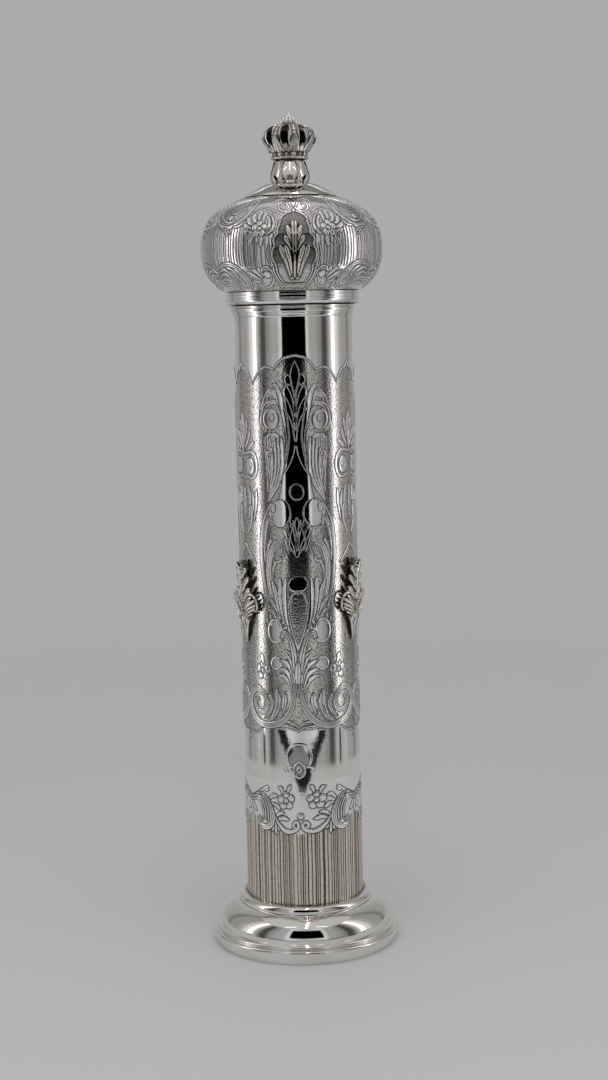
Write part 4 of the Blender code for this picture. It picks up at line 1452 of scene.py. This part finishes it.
# Each leaf's place, surface, azimuth and sheet, then its size, cell, wall and triangles.
for part, surface, first, sheet, *sizes in (
        ("tube", tube_surface, THIRD / 2, big_leaf, 12.0, LEAF_TALL, 0.26, 0.7, 14000),
        ("lid", bulb_radius, LID_TURN, small_leaf, 8.0, SMALL_LEAF_TALL, 0.24, 0.6, 9000)):
    plate = cut_out("leaf_plate", sheet, *sizes)
    for i in range(3):
        node_name = f"{part}_leaf_{i + 1}"
        leaf = bent(plate, f"{part}_cast_leaf_{i + 1}", surface, bottom(node_name),
                    first + THIRD * i)
        finish_piece(leaf, CAST, "silver_cast", node_name)
    bpy.data.objects.remove(plate)

# %% [markdown]
# ## The crest on the plain band
#
# A small plate sits on the plain band in front. Here it is a blank cartouche: an arched frame
# round an empty matted field, a curl at each side and a drop below. It is cut out of its own
# sheet like the leaves, only much thinner.

# %% The crest
CREST_WIDE, CREST_TALL = 9.0, 20.0
CREST_AZIMUTH = -3.5
CREST_OFF_MM = 0.45     # how far the plate stands off the tube
crest_sheet = Sheet(CREST_WIDE, 0, CREST_TALL, FLAT_RADIUS)
stroke(crest_sheet, [(0, 6.6), (0, 12), (0, 15.4)], 5.2, ((0, 0.8), (0.5, 1), (1, 0.5)), 0.1,
       flat=12, matt=1.0)
crest_sheet.oxide[crest_sheet.matt > 0.5] = 0.45
for width, points in (
        (0.62, [(0, 18.4), (3.4, 17.6), (5.7, 14.8), (6.2, 11.2), (5.2, 8.2), (3.2, 6.6)]),
        (0.5, [(3.6, 6.8), (5.8, 6.4), (7.6, 5.2), (7.3, 3.8), (6, 3.9), (6.2, 4.9)]),
        (0.45, [(0, 9.2), (1.8, 8), (2.9, 5.6), (2.3, 2.6), (0, 1)]),
        (0.4, [(0, 6.9), (1, 5.2), (0, 3.6)])):
    stroke(crest_sheet, points, width, EVEN, 0.32, 1, 2.4)
plate = cut_out("crest_plate", crest_sheet, CREST_WIDE, CREST_TALL, 0.2, 0.6, 6000)
put(plate, places(plate) + (0, 0, CREST_OFF_MM))
crest = bent(plate, "tube_blank_crest", tube_surface, bottom("tube_crest"), CREST_AZIMUTH)
finish_piece(crest, CHASED, "silver_chased", "tube_crest")
bpy.data.objects.remove(plate)

# %% [markdown]
# ## The crown and the leaves under it
#
# The finial was cast in one: a jewelled band, eight broad arches that swell out and meet
# under a ribbed bud, and a pointed leaf at the widest place of each arch. Arches, leaf points
# and the leaves round the neck are all ribbons: a line of radius and height, a width along
# it, and a little relief across it. One ribbon is made, given its thickness and copied round.

# %% A ribbon, made once and copied round the axis


def ribbon(name, path, halves, thick, relief, rows=36, columns=12):
    """A strip in front of the axis that follows (radius, z) points; halves are its widths."""
    strip = new_grid(name, columns, rows)
    points = places(strip) * MM
    across, along = points[:, 0] * 2, points[:, 1] + 0.5
    line = curve_through(np.array(path, float), 0.15)
    run = np.linspace(0, 1, len(line))
    r, z = np.interp(along, run, line[:, 0]), np.interp(along, run, line[:, 1])
    slope_r = np.interp(along, run, np.gradient(line[:, 0], run))
    slope_z = np.interp(along, run, np.gradient(line[:, 1], run))
    length = np.hypot(slope_r, slope_z)
    rise = relief(across, along)
    half = np.interp(along, *zip(*halves))
    r = r + rise * slope_z / length
    z = z - rise * slope_r / length
    turn = across * half / np.maximum(r, 1.0)
    put(strip, np.stack([r * np.sin(turn), -r * np.cos(turn), z], 1))
    sunk = np.clip(1 - rise / 0.22, 0, 1)
    mark(strip, oxide=0.8 * sunk, matt=0)
    apply_modifier(strip, "SOLIDIFY", thickness=thick * MM, use_even_offset=False,
                   offset=-1.0 if np.mean(r * slope_z - z * slope_r) > 0 else 1.0)
    return strip


def copied_round(strip, azimuths_in_degrees):
    """Copies of a strip, turned about the axis, each with its own mesh."""
    copies = []
    base = places(strip)
    for azimuth in azimuths_in_degrees:
        copy = new_copy(strip, strip.name)
        turn = math.radians(azimuth)
        x = base[:, 0] * math.cos(turn) - base[:, 1] * math.sin(turn)
        y = base[:, 0] * math.sin(turn) + base[:, 1] * math.cos(turn)
        put(copy, np.stack([x, y, base[:, 2]], 1))
        copies.append(copy)
    bpy.data.objects.remove(strip)
    return copies


def joined(name, pieces):
    """One object out of several, outward faces and soft shading."""
    bpy.ops.object.select_all(action="DESELECT")
    for piece in pieces:
        piece.select_set(True)
    bpy.context.view_layer.objects.active = pieces[0]
    bpy.ops.object.join()
    whole = bpy.context.active_object
    whole.name = whole.data.name = name
    face_outward(SPUN_ANGLE)
    return whole


# %% The arches and the leaf points
CROWN_LOW = bottom("crown")
CROWN_TOP = top("crown")
BAND_TOP = CROWN_LOW + 4.6
ARCH_STEP = 45.0
LEAF_THICK, PRONG_THICK = 0.5, 0.55
ARCHES = [13 + ARCH_STEP * i for i in range(8)]


def arch_relief(across, along):
    """A rib along each edge of an arch and a row of beads down its middle."""
    edges = 0.34 * np.exp(-((np.abs(across) - 0.84) / 0.13) ** 2)
    beads = 0.36 * np.exp(-(across / 0.26) ** 2) * (0.55 + 0.45 * np.cos(math.tau * 9 * along))
    return edges + beads


def leaf_relief(across, along):
    """Three soft ribs that fade towards a leaf's point."""
    return 0.3 * np.abs(np.cos(1.5 * math.pi * across)) * (1 - 0.5 * along)


arch = ribbon("arch", [(9.1, BAND_TOP - 1.2), (10.4, 405.2), (12.0, 407.6), (12.4, 410.0),
                       (12.1, 412.0), (11.0, 413.8), (8.9, 415.0), (6.4, 415.4),
                       (4.2, 415.0), (2.6, 415.4)],
              ((0, 3.3), (0.2, 2.8), (0.45, 2.5), (0.7, 2.3), (0.85, 1.8), (1, 1.0)),
              0.8, arch_relief)
point = ribbon("leaf_point", [(9.7, BAND_TOP - 0.3), (11.0, 405.4), (12.5, 407.5),
                              (13.0, 408.9), (13.4, 409.9)],
               ((0, 2.5), (0.4, 2.3), (0.75, 1.4), (1, 0.12)), LEAF_THICK, leaf_relief, 16, 10)
low_point = ribbon("band_leaf", [(9.6, BAND_TOP - 0.8), (10.4, 404.8), (11.4, 406.2)],
                   ((0, 1.4), (0.5, 1.1), (1, 0.1)), LEAF_THICK, leaf_relief, 8, 8)
crown_parts = copied_round(arch, ARCHES) + copied_round(point, ARCHES)
crown_parts += copied_round(low_point, [azimuth + ARCH_STEP / 2 for azimuth in ARCHES])
print("crown parts so far", len(crown_parts))

# %% The jewelled band and the bud
BAND_RADIUS = 8.75
crown_band = spun("band", [
    *raised(CROWN_LOW, (0, 0.9), (7.8, 0.7), (8.2, 0)),
    *arc((8.8, CROWN_LOW + 0.6), (0.6, 0.6), -80, 60, 6),
    (BAND_RADIUS, CROWN_LOW + 1.5), (BAND_RADIUS, BAND_TOP - 1.2),
    *arc((8.85, BAND_TOP - 0.55), (0.55, 0.55), -60, 90, 6),
    (8.1, BAND_TOP), *raised(CROWN_LOW, (8.0, 1.6), (0, 1.8))], 144)
points = places(crown_band)
radius = axis_distance(points)
turn = np.arctan2(points[:, 1], points[:, 0])
rope = (radius > 8.95) * 0.14 * np.sin(48 * turn + 3 * points[:, 2])
points[:, :2] *= (1 + rope / np.maximum(radius, 1))[:, None]
put(crown_band, points)
flat_part = (radius > 8.6) & (points[:, 2] > CROWN_LOW + 1.2) & (points[:, 2] < BAND_TOP - 1)
# Inside, on its floor and underneath, the band gets painted shade; its flat face behind the jewels
# and the rope's hollows are dark too.
mark(crown_band, oxide=0.8 * flat_part + 0.5 * (rope < -0.05) + 0.9 * (radius < 8.15), matt=0)
crown_parts.append(crown_band)

BAND_MIDDLE = (CROWN_LOW + BAND_TOP) / 2 + 0.05
for i in range(16):
    wide, tall = ((1.25, 1.0), (0.62, 0.85))[i % 2]
    turn = math.radians(ARCHES[0] + ARCH_STEP / 2 * i)
    place = Vector((BAND_RADIUS * math.sin(turn), -BAND_RADIUS * math.cos(turn),
                    BAND_MIDDLE)) * MM
    jewel = new_mesh("jewel", bpy.ops.mesh.primitive_uv_sphere_add, segments=16,
                     ring_count=10, radius=MM, location=place)
    jewel.scale = (wide, 0.75, tall)
    jewel.rotation_euler.z = turn
    bpy.ops.object.transform_apply(location=True, rotation=True, scale=True)
    mark(jewel, oxide=0, matt=0)
    crown_parts.append(jewel)

bud_line = raised(CROWN_TOP, (0.45, -0.15), (0.8, -0.7), (0.85, -1.3), (2.2, -1.8),
                  (3.5, -2.6), (4.15, -3.8), (4.3, -5.1), (3.9, -5.8), (2.7, -6.2),
                  (2.4, -7.4))
bud = spun("bud", [(0, CROWN_TOP), *rounded(bud_line, 0.22), (0, CROWN_TOP - 7.6)], 120)
points = places(bud)
turn = np.arctan2(points[:, 1], points[:, 0])
low = np.clip((CROWN_TOP - 1.4 - points[:, 2]) / 1.5, 0, 1)
rib = np.abs(np.cos(5 * turn + 0.3)) ** 0.7
points[:, :2] *= (1 - 0.24 * low * (1 - rib))[:, None]
put(bud, points)
mark(bud, oxide=low * np.clip(1.3 - 3 * rib, 0, 1), matt=0)
crown_parts.append(bud)
crown = joined("crown_cast", crown_parts)
darkened(crown, 1.0)
finish_piece(crown, CAST, "silver_cast", "crown")

# %% The leaves round the foot of the neck
CALYX_LOW = bottom("neck_calyx")
tall = ribbon("tall_prong", raised(CALYX_LOW, (8.9, 0.15), (9.6, 1.2), (9.7, 2.8), (9.35, 4.6),
                                   (8.8, 6.6), (8.2, 8.8), (7.75, 10.4)),
              ((0, 2.3), (0.14, 1.5), (0.35, 0.8), (0.75, 0.7), (0.9, 1.0), (1, 1.3)),
              PRONG_THICK, leaf_relief, 26, 10)
short = ribbon("short_prong", raised(CALYX_LOW, (8.8, 0.15), (9.5, 1.2), (9.8, 2.4), (9.95, 3.4)),
               ((0, 2.3), (0.45, 1.9), (0.8, 1.2), (1, 0.2)), PRONG_THICK, leaf_relief, 14, 10)
prongs = copied_round(tall, [30 + 60 * i for i in range(6)])
prongs += copied_round(short, [60 * i for i in range(6)])
calyx_ring = spun("calyx_ring", arc((8.5, CALYX_LOW + 0.4), (0.45, 0.4), 0, 350, 14),
                  SMALL_SPIN_STEPS)
mark(calyx_ring, oxide=0.35, matt=0)
calyx = joined("neck_leaves_cast", [calyx_ring] + prongs)
darkened(calyx)
finish_piece(calyx, CAST, "silver_cast", "neck_calyx")

# %% [markdown]
# ## Floor, light and camera
#
# Polished silver shows only what is round it, so the light is a room of its own: a round tent
# of pale cloth with a dark opening in front, where one looks in. A bright strip stands at each
# side of the opening, a third runs overhead from front to back. The tent is seen in the silver
# alone, never by the camera, so the case can be looked at from every side over a pale floor.
# The tent's wall is one mesh whose points carry their own glow, worked out from the angle and
# the height of each point.

# %% The floor, which fades into the backdrop
BACKDROP = "ababab"


def stage_glow(name, piece, tone, strength):
    """Makes a stage piece shine with a hex colour or an attribute, in reflections only."""
    material = bpy.data.materials.new(name)
    material.use_nodes = True
    tree = material.node_tree
    tree.nodes.clear()
    glow = node(tree, "ShaderNodeEmission", {"Strength": strength})
    if tone == "glow":
        tint = node(tree, "ShaderNodeAttribute", attribute_name=tone)
        tree.links.new(tint.outputs["Color"], glow.inputs["Color"])
    else:
        glow.inputs["Color"].default_value = colour(tone)
    finish = node(tree, "ShaderNodeOutputMaterial")
    tree.links.new(glow.outputs["Emission"], finish.inputs["Surface"])
    piece.data.materials.append(material)
    piece.visible_camera = False
    piece.visible_diffuse = False
    piece.visible_shadow = False


floor = new_mesh("floor", bpy.ops.mesh.primitive_circle_add, vertices=128, radius=3.0,
                 fill_type="NGON")
material, tree, shader = new_material("floor_matt_paper")
shader.inputs["Base Color"].default_value = colour("cfcfcf")
shader.inputs["Roughness"].default_value = 0.6
shader.inputs["Specular IOR Level"].default_value = 0.2
# Far from the case the paper curves up and has no edge: here it turns clear instead.
place = node(tree, "ShaderNodeTexCoord").outputs["Object"]
away = node(tree, "ShaderNodeVectorMath", {0: place}, operation="LENGTH").outputs["Value"]
faded = node(tree, "ShaderNodeMapRange", {
    "Value": away, "From Min": 0.16, "From Max": 1.3}, interpolation_type="SMOOTHSTEP")
clear = node(tree, "ShaderNodeBsdfTransparent")
both = node(tree, "ShaderNodeMixShader", {
    "Fac": faded.outputs["Result"], 1: shader.outputs["BSDF"], 2: clear.outputs["BSDF"]})
tree.links.new(both.outputs["Shader"], tree.nodes["Material Output"].inputs["Surface"])
floor.data.materials.append(material)

# %% The world beyond the tent
world = bpy.data.worlds.new("tent")
bpy.context.scene.world = world
world.use_nodes = True
tree = world.node_tree
background = tree.nodes["Background"]
background.inputs["Color"].default_value = colour("dcdcdd")
background.inputs["Strength"].default_value = 0.72
seen = node(tree, "ShaderNodeBackground", {"Color": colour(BACKDROP), "Strength": 1.0})
paths = node(tree, "ShaderNodeLightPath")
either = node(tree, "ShaderNodeMixShader", {
    "Fac": paths.outputs["Is Camera Ray"], 1: background.outputs["Background"],
    2: seen.outputs["Background"]})
tree.links.new(either.outputs["Shader"], tree.nodes["World Output"].inputs["Surface"])

# %% The tent's wall
TENT_RADIUS = 0.42      # metres, like all sizes of the stage; its angles are degrees
TENT_HEIGHT = 0.62
TENT_COLUMNS = 540
TENT_ROWS = 180
# How light the cloth looks at angles from the front, from 0 for black to 255 for white.
WALL_TONES = ((0, 165), (22, 200), (25, 205), (30, 158), (40, 158), (47, 140), (52, 126),
              (56, 72), (62, 74), (65, 120), (70, 170), (73, 200), (75, 253), (81, 255),
              (84, 225), (89, 214), (94, 168), (104, 149), (116, 149), (121, 118), (125, 130),
              (130, 153), (144, 160), (160, 172), (168, 172), (173, 120), (180, 104))
OPENING_HALF = 22.0
OPENING_LOW = 0.096     # above this height the tent's front is open and dark
OPENING_HIGH = 0.47
STRIP_FROM, STRIP_TO = 71.0, 91.0
STRIP_LOW = 0.033       # the bright strips start above this height, a pole goes on down
POLE_ANGLE, POLE_HALF = 78.0, 2.2
BAR_HEIGHT, BAR_HALF = 0.585, 0.012     # a lamp bar under the tent's rim, in front
STAND_TOP = 0.04        # two dark feet of a stand show under the opening
FOOT_OUTSIDE = ((0, 24), (0.2, 30), (0.58, 44), (1, 52))     # share of height, angle
FOOT_INSIDE = ((0, 0), (0.1, 1), (0.25, 8), (0.5, 24), (1, 40))


def wall_glow(angle, height):
    """The grey value of the tent's wall at an angle from the front and a height in metres."""
    away = np.abs(angle)
    angles, tones = zip(*WALL_TONES)
    grey = np.interp(away, angles, tones)
    strip = (away > STRIP_FROM) & (away < STRIP_TO)
    grey = np.where(strip & (height < STRIP_LOW), 165, grey)
    pole = np.abs(away - POLE_ANGLE) < POLE_HALF
    grey = np.where(pole & (height < STRIP_LOW), 70, grey)
    bar = np.clip(1 - np.abs(height - BAR_HEIGHT) / BAR_HALF, 0, 1) * (away < POLE_ANGLE)
    grey = np.maximum(grey, 250 * bar)
    opened = (away < OPENING_HALF) & (height > OPENING_LOW) & (height < OPENING_HIGH)
    share = np.clip(height / STAND_TOP, 0, 1)
    outer = np.interp(share, *zip(*FOOT_OUTSIDE))
    inner = np.interp(share, *zip(*FOOT_INSIDE))
    legs = (away < outer) & (away > inner) & (height < STAND_TOP)
    return np.where(opened | legs, 0, grey)


tent = new_grid("tent_wall", TENT_COLUMNS, TENT_ROWS)
flat = np.empty(len(tent.data.vertices) * 3, np.float32)
tent.data.vertices.foreach_get("co", flat)
angle = flat[0::3] * 360.0
height = (flat[1::3] + 0.5) ** 1.6 * TENT_HEIGHT
turn = np.radians(angle)
shape = np.stack([TENT_RADIUS * np.sin(turn), -TENT_RADIUS * np.cos(turn), height], 1)
tent.data.vertices.foreach_set("co", shape.astype(np.float32).ravel())
grey = wall_glow(angle, height) / 255
light = np.where(grey <= 0.04045, grey / 12.92, ((grey + 0.055) / 1.055) ** 2.4)
# The strips are a little pink towards the top, as their lamps differ.
pink = np.clip((np.abs(np.abs(angle) - 82) < 8) * height / 0.3, 0, 1)[:, None]
tint = 1 - pink * np.array([0.0, 0.07, 0.02])
lamp = np.where(grey > 0.97, 1.9, 1.0)[:, None]
paint = np.concatenate([light[:, None] * tint * lamp, np.ones((len(light), 1))], 1)
layer = tent.data.attributes.new("glow", "FLOAT_COLOR", "POINT")
layer.data.foreach_set("color", paint.astype(np.float32).ravel())
tent.data.update()
stage_glow("tent_cloth", tent, "glow", 1.06)

# %% The lamp overhead, the dark room beyond the opening and a softbox


def stage_card(name, middle, wide, deep, turn, tone, strength):
    """A flat level card of light, or a dark one, that only reflections see."""
    card = new_mesh(name, bpy.ops.mesh.primitive_plane_add, size=1.0, location=middle)
    card.scale = (wide, deep, 1.0)
    card.rotation_euler = (0.0, 0.0, math.radians(turn))
    stage_glow(name, card, tone, strength)


stage_card("lamp_overhead", (0.012, -0.16, 0.70), 0.03, 0.56, -4, "fff0f8", 3.0)
for side in (-1, 1):
    stage_card(f"lamp_top_{side + 2}", (side * 0.20, -0.30, 0.66), 0.16, 0.03, 0, "fffdf4", 1.7)
# Behind the tent's rim hangs a greyer sheet with a lamp at each side, over the cap's back.
stage_card("grey_above", (0.0, 0.83, 0.76), 1.6, 1.16, 0, "808080", 1.0)
stage_card("lamp_behind", (0.012, 0.30, 0.71), 0.03, 0.34, 0, "fff0f8", 3.0)
for side in (-1, 1):
    stage_card(f"lamp_back_{side + 2}", (side * 0.13, 0.56, 0.72), 0.14, 0.05, side * 12,
               "fffdf8", 1.6)
stage_card("dark_beyond", (0.0, -0.92, 0.003), 0.9, 1.0, 0, "0a0a0a", 0.3)
stage_card("dark_doorstep", (0.0, -0.3775, 0.002), 0.38, 0.075, 0, "0a0a0a", 0.3)
# The dark runs to a blunt point inside the opening.
for vertex in bpy.data.objects["dark_doorstep"].data.vertices:
    if vertex.co.y > 0:
        vertex.co.x *= 0.2

softbox = bpy.data.objects.new("softbox", bpy.data.lights.new("softbox", "AREA"))
softbox.data.shape = "RECTANGLE"
softbox.data.size = 1.2
softbox.data.size_y = 1.0
softbox.data.energy = 5.0
softbox.location = (0.0, -0.5, 1.2)
softbox.rotation_euler = (Vector(softbox.location) - Vector((0, 0, 0.1))).to_track_quat(
    "Z", "Y").to_euler()
softbox.visible_glossy = False
bpy.context.scene.collection.objects.link(softbox)
bpy.context.scene.view_settings.view_transform = "Standard"
print("the tent's wall has", len(tent.data.vertices), "points")

# %% The camera
CAMERA_AWAY = 0.937
CAMERA_HEIGHT = 0.3215
PITCH, YAW, ROLL = 6.9, 0.19, 1.24      # degrees
LENS = 61.67            # millimetres

camera = bpy.data.objects.new("camera", bpy.data.cameras.new("camera"))
camera.data.lens = LENS
turn = (Matrix.Rotation(math.radians(-YAW), 4, "Z")
        @ Matrix.Rotation(math.radians(90 - PITCH), 4, "X")
        @ Matrix.Rotation(math.radians(-ROLL), 4, "Z"))
camera.matrix_world = Matrix.Translation((0, -CAMERA_AWAY, CAMERA_HEIGHT)) @ turn
bpy.context.scene.collection.objects.link(camera)
bpy.context.scene.camera = camera
